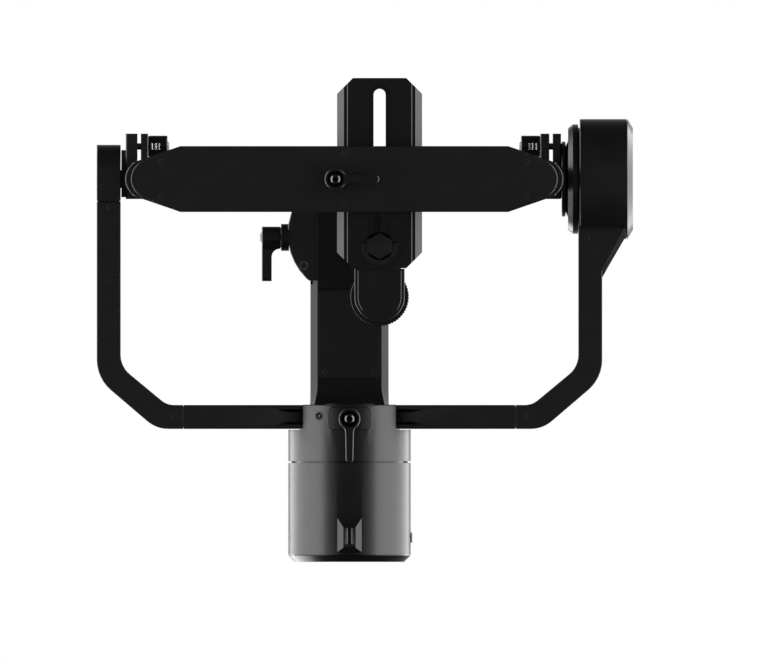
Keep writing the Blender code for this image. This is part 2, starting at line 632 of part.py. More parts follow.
def make_right_arm(low, high):
    """Right leg with the tilt motor's housing, which narrows to the leg along a slanted side."""
    outer, end_x = TILT_RADIUS, 0.1537
    leg = side_arm_outline(1, TILT_Y + 0.020)
    arm = lofted("right_arm", "roll_arm", stepped(leg, low, high, ARM_EDGE), ANODISED)
    depth = end_x - TILT_GAP_X
    drum = [(0, 0.0004), (outer - 0.0004, 0.0004), (outer, 0.0008), (outer, depth), (0, depth)]
    drum = turned("tilt_drum", "roll_arm", drum, TILT_AT, X_AXIS)
    step, slope = 0.0003, 0.0009
    tail_x, leg_x, tail_end = end_x - 0.0004, LEG_OUT - 0.0002, 0.0305
    tail = [(LEG_IN + GAP, TILT_Y + 0.004), (tail_x, TILT_Y + 0.004), (tail_x, 0.0015), (leg_x, 0.0244)]
    tail.append((LEG_IN + GAP, tail_end))
    slim = list(tail)
    slim[2] = (tail_x, -0.0042)
    slim[3] = (leg_x, 0.0202)
    sections = [
        along_z(slim, low),
        along_z(slim, low + step),
        along_z(tail, low + slope),
        along_z(tail, high - slope),
        along_z(slim, high - step),
        along_z(slim, high),
    ]
    wedge = lofted("tilt_tail", "roll_arm", sections)
    join(arm, drum, wedge)
    reach = 0.0311  # from the tilt axis to where the fillet runs out on the flat
    fillet = 0.0110
    for side, word in ((-1, "low"), (1, "high")):
        centre = (TILT_Y + reach, BAR_HALF + fillet)
        curve = arc(centre, fillet, -90, -136, 5)
        outline = curve + [(TILT_Y + 0.018, 0.0235), (TILT_Y + 0.018, 0.010), (TILT_Y + reach, 0.010)]
        outline = [(y, ROLL_Z + side * z) for y, z in outline]
        root = lofted(
            f"tilt_root_{word}",
            "roll_arm",
            [along_x(outline, LEG_IN + 2 * GAP), along_x(outline, end_x - 0.0040)],
        )
        join(arm, root)
    bays = [(0, -0.0010), (0.0290, -0.0010), (0.0290, 0.0200), (0.0112, 0.0200), (0.0112, 0.0040)]
    bays += [(0.0084, 0.0040), (0.0084, 0.0195), (0.0056, 0.0195), (0.0056, 0.0225), (0.0270, 0.0225)]
    bays += [(0.0270, 0.0300), (0, 0.0300)]
    cut(arm, turned("tilt_bays", "roll_arm", bays, TILT_AT, X_AXIS, None, 32))
    stator_and_bearing("tilt", "roll_arm", "tilt_hubs", TILT_AT, X_AXIS, 0.0268)
    start = depth + GAP
    face = start + 0.0033
    cover = [(0, start), (outer, start), (outer, start + 0.0003), (0.0283, face), (0, face)]
    turned("tilt_cover", "roll_arm", cover, TILT_AT, X_AXIS, ANODISED_SATIN)


def make_tilt_hubs():
    profile = [(0, -0.0097), (0.0205, -0.0097), (0.0208, -0.0094), (0.0208, -0.0076), (0.0183, -0.0074)]
    profile += [(0.0214, -0.0061), (0.0282, -0.0061), (0.0304, -0.0034), (0.0304, -0.0006), (0.0284, -0.0004)]
    profile += [(0.0284, 0.0185), (0.0268, 0.0185), (0.0268, 0.0025)]
    turned("tilt_rotor", "tilt_hubs", profile + SHAFT, TILT_AT, X_AXIS, ANODISED_SATIN, ROUND)
    spindle = [(0, 0.0158), (0.0082, 0.0158), (0.0082, 0.0138), (0.0050, 0.0138)]
    spindle += [(0.0050, 0.0040), (0, 0.0040)]
    turned("left_spindle", "tilt_hubs", spindle, (-LEG_OUT, TILT_Y, ROLL_Z), X_AXIS, ANODISED_SATIN, 32)
    for side, word in ((-1, "left"), (1, "right")):
        make_clamp_block(side, word)


def make_clamp_block(side, word):
    """Split block on the tilt axis that grips a rail, and its lever."""
    thickness = 0.0115 if side > 0 else 0.0125
    inner = CAGE_X + side * 0.1088
    outer = inner + side * thickness
    rail = CAGE_X + side * RAIL_OFFSET
    front, rear = -0.0557, -0.0194
    half_z = 0.0150
    plan = [(outer, front), (inner, front), (inner, rear), (outer, rear)]
    sections = stepped(plan, ROLL_Z - half_z, ROLL_Z + half_z, 0.0006)
    clamp = lofted(f"{word}_clamp", "tilt_hubs", sections, ANODISED)
    low, high = ROLL_Z - half_z - 0.002, ROLL_Z + half_z + 0.002
    hub_at = Vector((inner, HUB_Y, ROLL_Z))
    if side < 0:
        pad_half_z = 0.0131
        pad_low = (-0.12665, -0.0466, ROLL_Z - pad_half_z)
        pad = block("left_pad", "tilt_hubs", pad_low, (outer + 0.001, -0.0204, ROLL_Z + pad_half_z))
        spindle_at = (outer, TILT_Y, ROLL_Z)
        cut(pad, bore("left_pad_bore", "tilt_hubs", spindle_at, X_AXIS, 0.0085, -0.004, 0.0, 32))
        join(clamp, pad)
    rail_slot = ((rail - 0.0031, -0.0394, low), (rail + 0.0031, -0.0216, high))
    slit = ((rail - 0.0005, front - 0.001, low), (rail + 0.0014, -0.0390, high))
    cut(
        clamp,
        block(f"{word}_rail_slot", "tilt_hubs", *rail_slot),
        block(f"{word}_slit", "tilt_hubs", *slit),
        bore(f"{word}_bolt_hole", "tilt_hubs", hub_at, X_AXIS, 0.0022, -0.0125, 0.0125, 16),
    )
    clamp_lever(word, f"{word}_lever", hub_at - Vector((side * GAP, 0, 0)), (-side, 0, 0), (0, 0, 1))


def crossbar_outline(grow=0.0, end=CROSSBAR_END, radius=0.0109, half=CROSSBAR_HALF):
    """Plan of the crossbar: straight, tapering to two round ends."""
    taper_x, tilt = 0.0910, 68
    outline = []
    for side in (1, -1):
        tip = arc((side * end, 0), radius + grow, -tilt, tilt, 12)
        if side < 0:
            tip = arc((-end, 0), radius + grow, 180 - tilt, 180 + tilt, 12)
        outline += [(side * taper_x, -side * (half + grow))] + tip + [(side * taper_x, side * (half + grow))]
    return [(CAGE_X + x, TILT_Y + y) for x, y in outline]


def make_cage():
    cover_top = CROSSBAR_Z + 0.0024
    top = CROSSBAR_Z + 0.0110
    body = crossbar_outline()
    bar = lofted("crossbar", "cage", stepped(body, cover_top + GAP, top, 0.0004), ANODISED)
    pocket = ((0.040, TILT_Y - 0.012, CROSSBAR_Z), (0.072, TILT_Y + 0.012, top - 0.0020))
    lever_at = Vector((CAGE_LEVER_X, TILT_Y, CROSSBAR_Z - GAP))
    bolt_way = bore("crossbar_bolt_way", "cage", lever_at, Z_AXIS, 0.0023, -0.001, 0.015, 16)
    cut(bar, block("imu_pocket", "cage", *pocket), bolt_way)
    lid = crossbar_outline(0.0, CROSSBAR_END - 0.0031)
    cover = lofted("crossbar_cover", "cage", stepped(lid, CROSSBAR_Z, cover_top, 0.0004), ANODISED)
    cut(cover, bolt_way)
    imu = ((0.043, TILT_Y - 0.0095, cover_top + 0.0006), (0.069, TILT_Y + 0.0095, top - 0.0024))
    block("imu_module", "cage", *imu, PLASTIC)
    for side, word in ((-1, "left"), (1, "right")):
        middle = CAGE_X + side * RAIL_OFFSET
        plan = chamfered(middle - 0.0028, middle + 0.0028, -0.0390, -0.0220, 0.0008)
        lofted(f"{word}_rail", "cage", [along_z(plan, top + GAP), along_z(plan, RAIL_TOP)], ANODISED_SATIN)
    make_saddle(top + GAP)
    clamp_lever("crossbar", "crossbar_lever", lever_at, (0, 0, -1), (1, 0, 0), 0.0170)


def make_saddle(base):
    """Dovetail seat of the camera plate: a fixed jaw on the right and a wedge jaw on the left."""
    front, rear = TILT_Y - 0.0170, TILT_Y + 0.0170
    floor = base - PLATE_Z + 0.0016
    seat = [(-0.0275, base - PLATE_Z), (0.0270, base - PLATE_Z), (0.0270, 0.0027), (0.0259, 0.0038)]
    seat += [(0.0161, 0.0038), (0.0184, 0.0015), (0.0184, -GAP), (0.0118, -GAP), (0.0118, floor)]
    seat += [(-0.0118, floor), (-0.0118, -GAP), (-0.0180, -GAP), (-0.0180, floor), (-0.0275, floor)]
    seat = [(PLATE_X + x, PLATE_Z + z) for x, z in seat]
    saddle = lofted("plate_saddle", "cage", [along_y(seat, front), along_y(seat, rear)], ANODISED_SATIN)
    jaw = [(-0.0184, floor + GAP), (-0.0275, floor + GAP), (-0.0275, 0.0027), (-0.0264, 0.0038)]
    jaw += [(-0.0161, 0.0038), (-0.0184, 0.0015)]
    jaw = [(PLATE_X + x, PLATE_Z + z) for x, z in jaw]
    wedge = lofted("saddle_jaw", "cage", [along_y(jaw, front), along_y(jaw, rear)], ANODISED_SATIN)
    at = (CAGE_LEVER_X, TILT_Y, PLATE_Z)
    cut(saddle, bore("saddle_bolt_way", "cage", at, Z_AXIS, 0.0022, -0.009, -0.004, 16))
    cut(wedge, bore("jaw_thread", "cage", at, Z_AXIS, 0.0022, -0.0075, 0.0005, 16))


def make_camera_plate():
    profile = [(0.0177, 0), (0.0181, 0.0004), (0.0181, 0.0017), (0.0157, 0.0041), (0.0198, 0.0041)]
    profile += [(0.0236, 0.0079), (0.0236, 0.0095), (0.0231, 0.0100)]
    profile = profile + [(-x, z) for x, z in reversed(profile)]
    profile = [(PLATE_X + x, PLATE_Z + z) for x, z in profile]
    sections = [along_y(profile, PLATE_FRONT), along_y(profile, PLATE_REAR)]
    plate = lofted("camera_plate", "camera_plate", sections, ANODISED_SATIN)
    corner = 0.0098
    half = 0.0236
    spill = 0.001  # how far the cutter stands outside the plate
    side_way, end_way = half + spill, half - corner
    plan = [(-end_way, PLATE_FRONT - spill), (end_way, PLATE_FRONT - spill)]
    plan += [(side_way, PLATE_FRONT + corner), (side_way, PLATE_REAR - corner)]
    plan += [(end_way, PLATE_REAR + spill), (-end_way, PLATE_REAR + spill)]
    plan += [(-side_way, PLATE_REAR - corner), (-side_way, PLATE_FRONT + corner)]
    plan = [(PLATE_X + x, y) for x, y in plan]
    bounds = slab("plate_plan", "camera_plate", plan, PLATE_Z - 0.001, PLATE_Z + 0.011)
    boolean(plate, [bounds], "INTERSECT")
    slot = stadium(PLATE_X, -0.0806, 0.0104, 0.00335)
    recess = stadium(PLATE_X, -0.0830, 0.0130, 0.00585)
    cut(
        plate,
        slab("plate_slot", "camera_plate", slot, PLATE_Z - 0.002, PLATE_Z + 0.012),
        slab("plate_recess", "camera_plate", recess, PLATE_Z - 0.002, PLATE_Z + 0.0020),
    )
    make_bracket()
    make_camera_screw()


def stadium(x, y0, y1, radius):
    """A slot's outline: two half circles joined, along Y."""
    return arc((x, y1 - radius), radius, 0, 180, 10) + arc((x, y0 + radius), radius, 180, 360, 10)


def make_bracket():
    """Rear bracket on the plate's end, with the thumb wheel's screw standing in it."""
    start, radius, edge = PLATE_REAR + GAP, 0.0139, 0.0018
    low, high = PLATE_Z + 0.0004, PLATE_Z + 0.0095
    side_rise, end_rise = 0.0004, 0.0008
    end_slope_y = WHEEL_Y + 0.0082

    def plan(reach, y0, limit):
        points = [(PLATE_X + reach, y0)] + arc((PLATE_X, WHEEL_Y), reach, 0, 180, 16)
        points.append((PLATE_X - reach, y0))
        return [(x, min(y, limit)) for x, y in points]

    rim = plan(radius, start, WHEEL_Y + radius)
    sections = [
        along_z(plan(radius - edge, start, end_slope_y), low),
        [(x, y, low + (end_rise if y > end_slope_y else side_rise)) for x, y in rim],
        along_z(rim, high),
    ]
    bracket = lofted("rear_bracket", "camera_plate", sections, ANODISED_SATIN)
    tongue = ((PLATE_X - radius, start, PLATE_Z + 0.0093), (PLATE_X + radius, 0.0400, PLATE_Z + 0.0130))
    web = ((PLATE_X - 0.0130, 0.0200, high - 0.002), (PLATE_X + 0.0130, 0.0395, PLATE_Z + 0.0110))
    join(
        bracket,
        block("bracket_tongue", "camera_plate", *tongue),
        block("bracket_web", "camera_plate", *web),
    )
    at = (PLATE_X, WHEEL_Y, PLATE_Z)
    cut(bracket, bore("stud_hole", "camera_plate", at, Z_AXIS, 0.0043, 0.0028, 0.020))
    knurl = (0.0150, lambda side: 1.0 if side % 2 else 0.975)
    wheel = [(0.0043, 0.0133), (0.0156, 0.0133), (0.0164, 0.0140), (0.0164, 0.0186), (0.0156, 0.0193)]
    wheel += [(0.0090, 0.0193), (0.0080, 0.0203), (0.0043, 0.0203)]
    turned("thumb_wheel", "thumb_wheel", wheel, at, Z_AXIS, ANODISED_SATIN, 48, knurl)
    stud = [(0, 0.0250), (0.0040, 0.0250), (0.0040, 0.0064), (0.0034, 0.0058), (0, 0.0058)]
    turned("jack_screw", "jack", stud, at, Z_AXIS, STEEL, SMALL_ROUND)
    pad = [(0, 0.0290), (0.0080, 0.0290), (0.0090, 0.0280), (0.0090, 0.0253), (0, 0.0253)]
    turned("jack_pad", "jack", pad, at, Z_AXIS, RUBBER, 32)


def make_camera_screw():
    at = Vector((PLATE_X, SCREW_Y, PLATE_Z))
    washer = [(0.0034, 0.0017), (0.0055, 0.0017), (0.0055, 0.0002), (0.0034, 0.0002)]
    turned("screw_washer", "screw_slider", washer, at, Z_AXIS, BLACK_STEEL, SMALL_ROUND)
    head = [(0, -0.0048), (0.0066, -0.0048), (0.0073, -0.0041), (0.0073, -0.0001), (0.0031, -0.0001)]
    head += [(0.0031, 0.0150), (0.0027, 0.0156), (0, 0.0156)]
    screw = turned("camera_screw", "camera_screw", head, at, Z_AXIS, BLACK_STEEL, 36)
    flats = arc((0, 0), 0.0079, 30, 330, 5)
    hexagon = prism("screw_flats", "camera_screw", flats, -0.006, 0.017, at, Z_AXIS)
    boolean(screw, [hexagon], "INTERSECT")
    hinge_y = -0.0013
    outline = arc((0, 0), 0.0103, -10, 190, 22) + [(-0.0079, -0.0018)]
    outline += arc((0, 0), 0.0077, 183, -3, 20) + [(0.0079, -0.0018)]
    ring = prism("d_ring", "d_ring", outline, -0.0036, -0.0014, at, Z_AXIS, BLACK_STEEL)
    for side in (-1, 1):
        pin_at = at + Vector((side * 0.0086, hinge_y, -0.0025))
        join(ring, bore(f"d_ring_pin_{side}", "d_ring", pin_at, X_AXIS, 0.0009, -0.0010, 0.0010, 12))


def main():
    clear_scene()
    group("mount", (0, 0, 0))
    group("pan_clamp", PAN_AT, "mount")
    lever_base = Vector((-CLAMP_RADIUS, PAN_LEVER_Y, PAN_LEVER_Z))
    group("pan_lever", lever_base, "pan_clamp")
    group("pan_arm", (0, 0, ARM_LOW_Z), "pan_clamp")
    group("power_button", (ROLL_RADIUS, 0.1685, ROLL_Z), "pan_arm")
    group("roll_clamp", ROLL_AT, "pan_arm")
    group("roll_lever", (0, JAW_Y, ROLL_Z), "roll_clamp")
    group("roll_arm", (0, BAR_Y, ROLL_Z), "roll_clamp")
    group("tilt_hubs", TILT_AT, "roll_arm")
    for side, word in ((-1, "left"), (1, "right")):
        group(f"{word}_lever", (CAGE_X + side * 0.1088, HUB_Y, ROLL_Z), "tilt_hubs")
    group("cage", (CAGE_X, TILT_Y, ROLL_Z), "tilt_hubs")
    group("crossbar_lever", (CAGE_LEVER_X, TILT_Y, CROSSBAR_Z), "cage")
    group("camera_plate", (PLATE_X, TILT_Y, PLATE_Z), "cage")
    group("thumb_wheel", (PLATE_X, WHEEL_Y, PLATE_Z), "camera_plate")
    group("jack", (PLATE_X, WHEEL_Y, PLATE_Z), "camera_plate")
    group("screw_slider", (PLATE_X, SCREW_Y, PLATE_Z), "camera_plate")
    group("camera_screw", (PLATE_X, SCREW_Y, PLATE_Z), "screw_slider")
    group("d_ring", (PLATE_X, SCREW_Y - 0.0013, PLATE_Z - 0.0025), "camera_screw")
    make_mount()
    make_pan_clamp()
    make_pan_arm()
    make_roll_motor()
    make_roll_clamp()
    make_roll_arm()
    make_tilt_hubs()
    make_cage()
    make_camera_plate()


main()
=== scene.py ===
"""Looks of the three-axis camera gimbal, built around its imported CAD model.

Metres, +Z up, -Y the way the gimbal's camera looks. The picture is taken from straight below the
hanging gimbal, with the front at its top, between two large lights left and right.
"""

import json
import math

import bmesh
import bpy
from mathutils import Matrix, Vector

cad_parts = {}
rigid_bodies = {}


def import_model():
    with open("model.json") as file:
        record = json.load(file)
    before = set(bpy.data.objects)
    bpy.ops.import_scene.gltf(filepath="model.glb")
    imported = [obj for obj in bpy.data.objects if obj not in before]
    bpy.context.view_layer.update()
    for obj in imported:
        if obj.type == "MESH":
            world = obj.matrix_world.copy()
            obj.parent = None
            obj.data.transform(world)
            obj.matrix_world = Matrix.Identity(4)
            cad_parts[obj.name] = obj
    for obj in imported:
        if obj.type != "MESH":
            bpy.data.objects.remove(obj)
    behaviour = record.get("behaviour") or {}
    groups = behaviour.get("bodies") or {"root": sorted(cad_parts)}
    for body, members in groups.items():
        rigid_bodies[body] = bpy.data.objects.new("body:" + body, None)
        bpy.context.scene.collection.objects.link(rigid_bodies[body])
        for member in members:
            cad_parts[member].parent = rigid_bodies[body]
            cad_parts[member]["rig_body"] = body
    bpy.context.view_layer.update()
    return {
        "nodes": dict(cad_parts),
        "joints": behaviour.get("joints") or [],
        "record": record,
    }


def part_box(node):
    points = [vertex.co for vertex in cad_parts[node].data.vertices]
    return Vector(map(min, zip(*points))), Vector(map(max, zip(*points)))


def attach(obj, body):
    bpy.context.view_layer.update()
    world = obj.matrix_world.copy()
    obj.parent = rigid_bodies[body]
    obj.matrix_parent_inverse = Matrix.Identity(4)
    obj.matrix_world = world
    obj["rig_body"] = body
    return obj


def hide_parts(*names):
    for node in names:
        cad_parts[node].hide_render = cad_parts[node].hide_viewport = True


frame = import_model()
NODES = frame["nodes"]
JOINTS = {joint["name"]: joint for joint in frame["joints"]}

X_AXIS = Matrix.Rotation(math.pi / 2, 3, "Y")  # turns a piece's own Z to +X
Y_AXIS = Matrix.Rotation(-math.pi / 2, 3, "X")  # turns a piece's own Z to +Y
Z_AXIS = Matrix.Identity(3)
EXTRA_FINE = 240  # sides of the roll motor's shell
FINE = 160  # sides of a large round piece
MEDIUM = 64  # sides of a small one
WELD = 1e-5
SHARP = math.radians(30)  # edges sharper than this are bevelled and not shaded smooth


# Materials


def shader_of(name):
    """A new material's nodes: (material, nodes, links, shader)."""
    material = bpy.data.materials.new(name)
    material.use_nodes = True
    nodes, links = material.node_tree.nodes, material.node_tree.links
    return material, nodes, links, nodes["Principled BSDF"]


def noise(nodes, links, scale, detail=4.0, stretch=(1, 1, 1)):
    """A noise texture in the object's own metres, stretched along its axes."""
    coords = nodes.new("ShaderNodeTexCoord")
    mapping = nodes.new("ShaderNodeMapping")
    mapping.inputs["Scale"].default_value = stretch
    texture = nodes.new("ShaderNodeTexNoise")
    texture.inputs["Scale"].default_value = scale
    texture.inputs["Detail"].default_value = detail
    links.new(coords.outputs["Object"], mapping.inputs["Vector"])
    links.new(mapping.outputs["Vector"], texture.inputs["Vector"])
    return texture.outputs["Fac"]


def ramp(nodes, links, value, low, high):
    """A colour ramp of value between two colours, over the middle of its range."""
    node = nodes.new("ShaderNodeValToRGB")
    node.color_ramp.elements[0].position = 0.3
    node.color_ramp.elements[1].position = 0.7
    node.color_ramp.elements[0].color = (*low, 1)
    node.color_ramp.elements[1].color = (*high, 1)
    links.new(value, node.inputs["Fac"])
    return node.outputs["Color"]


def spread(nodes, links, value, low, high):
    """value, from 0 to 1, as a number between low and high."""
    node = nodes.new("ShaderNodeMapRange")
    node.inputs["To Min"].default_value = low
    node.inputs["To Max"].default_value = high
    links.new(value, node.inputs["Value"])
    return node.outputs["Result"]


def bump(nodes, links, shader, value, strength, distance):
    """Roughens a shader's normal with value, distance metres deep."""
    node = nodes.new("ShaderNodeBump")
    node.inputs["Strength"].default_value = strength
    node.inputs["Distance"].default_value = distance
    links.new(value, node.inputs["Height"])
    links.new(node.outputs["Normal"], shader.inputs["Normal"])


def surface(name, low, high, metallic, rough, grain, depth):
    """A material with a fine grain and slow variation.

    low and high are colours, rough a pair of roughness values, grain the fine noise's scale and
    depth its height.
    """
    material, nodes, links, shader = shader_of(name)
    slow = noise(nodes, links, 90, 5.0)
    links.new(ramp(nodes, links, slow, low, high), shader.inputs["Base Color"])
    fine = noise(nodes, links, grain, 3.0)
    mix = nodes.new("ShaderNodeMath")
    mix.operation = "MULTIPLY"
    links.new(slow, mix.inputs[0])
    links.new(fine, mix.inputs[1])
    links.new(spread(nodes, links, mix.outputs["Value"], *rough), shader.inputs["Roughness"])
    shader.inputs["Metallic"].default_value = metallic
    bump(nodes, links, shader, fine, 0.25, depth)
    return material


# Shapes


def place(name, bm, turn, at):
    """An object of bm, with its local Z along the axis that turn gives."""
    bmesh.ops.recalc_face_normals(bm, faces=bm.faces)
    bm.transform(Matrix.Translation(at) @ turn.to_4x4())
    mesh = bpy.data.meshes.new(name)
    bm.to_mesh(mesh)
    bm.free()
    obj = bpy.data.objects.new(name, mesh)
    bpy.context.scene.collection.objects.link(obj)
    return obj


def revolve(name, profile, at, turn=Z_AXIS, sides=FINE, shape=None):
    """A turned piece. profile holds (radius, height) points, from axis to axis or round a ring.

    shape(radius, angle), if given, returns the radius at that angle.
    """
    bm = bmesh.new()
    rings = []
    for radius, height in profile:
        if radius == 0:
            rings.append([bm.verts.new((0, 0, height))])
            continue
        ring = []
        for side in range(sides):
            angle = 2 * math.pi * side / sides
            reach = shape(radius, angle) if shape else radius
            ring.append(bm.verts.new((reach * math.cos(angle), reach * math.sin(angle), height)))
        rings.append(ring)
    pairs = list(zip(rings, rings[1:]))
    if len(rings[0]) > 1:
        pairs.append((rings[-1], rings[0]))
    for first, second in pairs:
        for side in range(sides):
            after = (side + 1) % sides
            corners = [first[side % len(first)], second[side % len(second)]]
            if len(second) > 1:
                corners.append(second[after])
            if len(first) > 1:
                corners.append(first[after])
            if len(corners) > 2:
                bm.faces.new(corners)
    return place(name, bm, turn, at)


def band(inner, outer, low, high):
    """The profile of a plain ring, or of a disc where inner is 0."""
    return [(inner, low), (outer, low), (outer, high), (inner, high)]


def prism(name, outline, low, high, at=Vector(), turn=Z_AXIS):
    """An outline in its own XY, extruded along its own Z."""
    bm = bmesh.new()
    rings = [[bm.verts.new((x, y, height)) for x, y in outline] for height in (low, high)]
    for i in range(len(outline)):
        after = (i + 1) % len(outline)
        bm.faces.new((rings[0][i], rings[1][i], rings[1][after], rings[0][after]))
    bm.faces.new(rings[0])
    bm.faces.new(rings[1])
    return place(name, bm, turn, at)


def loft(name, sections, turn=Z_AXIS, at=Vector()):
    """A closed skin over sections, each a ring of the same number of points."""
    bm = bmesh.new()
    rings = [[bm.verts.new(point) for point in section] for section in sections]
    for first, second in zip(rings, rings[1:]):
        for i in range(len(first)):
            after = (i + 1) % len(first)
            bm.faces.new((first[i], second[i], second[after], first[after]))
    bm.faces.new(rings[0])
    bm.faces.new(rings[-1])
    return place(name, bm, turn, at)


def box(name, low, high):
    """A box between two corners."""
    outline = [(low[0], low[1]), (high[0], low[1]), (high[0], high[1]), (low[0], high[1])]
    return prism(name, outline, low[2], high[2])


def arc(centre, radius, start, end, steps):
    """Points of an arc from start to end, in degrees."""
    points = []
    for i in range(steps + 1):
        angle = math.radians(start + (end - start) * i / steps)
        points.append((centre[0] + radius * math.cos(angle), centre[1] + radius * math.sin(angle)))
    return points


def rounded_box(x0, y0, x1, y1, radius):
    """A rectangle's outline with round corners."""
    steps = 6
    outline = arc((x1 - radius, y0 + radius), radius, -90, 0, steps)
    outline += arc((x1 - radius, y1 - radius), radius, 0, 90, steps)
    outline += arc((x0 + radius, y1 - radius), radius, 90, 180, steps)
    return outline + arc((x0 + radius, y0 + radius), radius, 180, 270, steps)


def combine(target, helpers, operation="DIFFERENCE"):
    """Applies Booleans to target and removes the helpers."""
    for helper in helpers:
        modifier = target.modifiers.new(helper.name, "BOOLEAN")
        modifier.object = helper
        modifier.operation = operation
        modifier.solver = "EXACT"
    bpy.context.view_layer.update()
    graph = bpy.context.evaluated_depsgraph_get()
    mesh = bpy.data.meshes.new_from_object(target.evaluated_get(graph))
    target.modifiers.clear()
    target.data = mesh
    for helper in helpers:
        bpy.data.objects.remove(helper, do_unlink=True)
    return target


def hole(at, turn, radius, low, high, sides=MEDIUM):
    """A cutter for a round hole."""
    return revolve("cutter", band(0, radius, low, high), at, turn, sides)


def normals_group():
    """A node tree that drops a mesh's stored normals and shades it smooth by angle."""
    tree = bpy.data.node_groups.new("smooth_by_angle", "GeometryNodeTree")
    tree.interface.new_socket("Geometry", in_out="INPUT", socket_type="NodeSocketGeometry")
    tree.interface.new_socket("Geometry", in_out="OUTPUT", socket_type="NodeSocketGeometry")
    nodes, links = tree.nodes, tree.links
    start, end = nodes.new("NodeGroupInput"), nodes.new("NodeGroupOutput")
    drop = nodes.new("GeometryNodeRemoveAttribute")
    drop.inputs["Name"].default_value = "custom_normal"
    faces = nodes.new("GeometryNodeSetShadeSmooth")
    faces.domain = "FACE"
    edges = nodes.new("GeometryNodeSetShadeSmooth")
    edges.domain = "EDGE"
    edges.inputs["Shade Smooth"].default_value = False
    angle = nodes.new("GeometryNodeInputMeshEdgeAngle")
    compare = nodes.new("FunctionNodeCompare")
    compare.data_type = "FLOAT"
    compare.operation = "GREATER_THAN"
    compare.inputs["B"].default_value = SHARP
    links.new(angle.outputs["Unsigned Angle"], compare.inputs["A"])
    links.new(compare.outputs["Result"], edges.inputs["Selection"])
    chain = [start, drop, faces, edges, end]
    for first, second in zip(chain, chain[1:]):
        links.new(first.outputs[0], second.inputs[0])
    return tree


SMOOTH = normals_group()


def finish_edges(obj, width=0.0):
    """Welds a piece, joins its flat triangles, shades it smooth and bevels its sharp edges."""
    weld = obj.modifiers.new("weld", "WELD")
    weld.merge_threshold = WELD
    flat = obj.modifiers.new("flatten", "DECIMATE")
    flat.decimate_type = "DISSOLVE"
    flat.angle_limit = math.radians(0.4)
    smooth = obj.modifiers.new("smooth", "NODES")
    smooth.node_group = SMOOTH
    if width:
        bevel = obj.modifiers.new("bevel", "BEVEL")
        bevel.width = width
        bevel.segments = 2
        bevel.limit_method = "ANGLE"
        bevel.angle_limit = SHARP
        bevel.harden_normals = True
    return obj


# Finishes: one for each material slot, and a few that only some pieces have


def brushed(name, colour, rough, stretch):
    """Bright steel with fine brush marks along one way."""
    material, nodes, links, shader = shader_of(name)
    marks = noise(nodes, links, 900, 4.0, stretch)
    low, high = [0.8 * part for part in colour], list(colour)
    links.new(ramp(nodes, links, marks, low, high), shader.inputs["Base Color"])
    links.new(spread(nodes, links, marks, *rough), shader.inputs["Roughness"])
    shader.inputs["Metallic"].default_value = 1.0
    bump(nodes, links, shader, marks, 0.2, 0.00002)
    return material


def laminated(name):
    """Stacked sheet steel: thin light and dark layers."""
    material, nodes, links, shader = shader_of(name)
    coords = nodes.new("ShaderNodeTexCoord")
    wave = nodes.new("ShaderNodeTexWave")
    wave.inputs["Scale"].default_value = 900
    wave.inputs["Distortion"].default_value = 0.6
    links.new(coords.outputs["Object"], wave.inputs["Vector"])
    links.new(
        ramp(nodes, links, wave.outputs["Fac"], (0.12, 0.06, 0.03), (0.34, 0.33, 0.33)),
        shader.inputs["Base Color"],
    )
    shader.inputs["Metallic"].default_value = 0.8
    shader.inputs["Roughness"].default_value = 0.45
    bump(nodes, links, shader, wave.outputs["Fac"], 0.3, 0.00005)
    return material


def circuit(name):
    """Solder mask over copper tracks."""
    material, nodes, links, shader = shader_of(name)
    coords = nodes.new("ShaderNodeTexCoord")
    tracks = nodes.new("ShaderNodeTexBrick")
    tracks.inputs["Scale"].default_value = 260
    tracks.inputs["Mortar Size"].default_value = 0.03
    tracks.inputs["Color1"].default_value = (0.012, 0.07, 0.035, 1)
    tracks.inputs["Color2"].default_value = (0.016, 0.09, 0.045, 1)
    tracks.inputs["Mortar"].default_value = (0.03, 0.16, 0.07, 1)
    links.new(coords.outputs["Object"], tracks.inputs["Vector"])
    links.new(tracks.outputs["Color"], shader.inputs["Base Color"])
    shader.inputs["Roughness"].default_value = 0.35
    bump(nodes, links, shader, tracks.outputs["Fac"], 0.3, 0.00004)
    return material


GRAIN = 5200  # bead-blasted grain, a fifth of a millimetre
POLISH = 3000  # finer marks on turned and plastic pieces


def grey(level, tint=0.0):
    """A grey with a trace of blue."""
    return (level, level, level + tint)


ANODISED_ROUGH = (0.36, 0.47)
MATERIALS = {
    name: surface(name, low, high, metallic, rough, grain, depth)
    for name, low, high, metallic, rough, grain, depth in (
        ("anodised", grey(0.032, 0.001), grey(0.034, 0.001), 1.0, ANODISED_ROUGH, GRAIN, 0.00002),
        ("anodised_satin", grey(0.035, 0.001), grey(0.038, 0.001), 1.0, (0.28, 0.38), GRAIN, 0.000012),
        # painted shade: a darker copy of the anodised finish, for the pan arm, which lies deep in shade
        ("anodised_shaded", grey(0.020, 0.001), grey(0.022, 0.001), 1.0, ANODISED_ROUGH, GRAIN, 0.00002),
        ("black_steel", grey(0.045, 0.002), (0.065, 0.064, 0.066), 1.0, (0.22, 0.34), POLISH, 0.00001),
        ("bolt", grey(0.060, 0.001), grey(0.078, 0.001), 1.0, (0.18, 0.28), POLISH, 0.00001),
        ("edge", grey(0.050, 0.001), grey(0.060, 0.001), 1.0, (0.38, 0.48), POLISH, 0.00001),
        # painted shade: a near-black finish that stands for the shade in holes and recesses; the disc
        # behind the camera screw's head and the roll clamp's screw get it too
        ("painted_shade", grey(0.003), grey(0.006), 1.0, (0.5, 0.7), POLISH, 0.00001),
        ("screw_head", grey(0.045, 0.001), grey(0.060, 0.002), 1.0, (0.30, 0.42), POLISH, 0.00001),
        ("plastic", grey(0.010, 0.001), grey(0.016, 0.001), 0.0, (0.4, 0.6), POLISH, 0.00003),
        ("rubber", grey(0.008), grey(0.016), 0.0, (0.7, 0.95), 2400, 0.00006),
    )
}
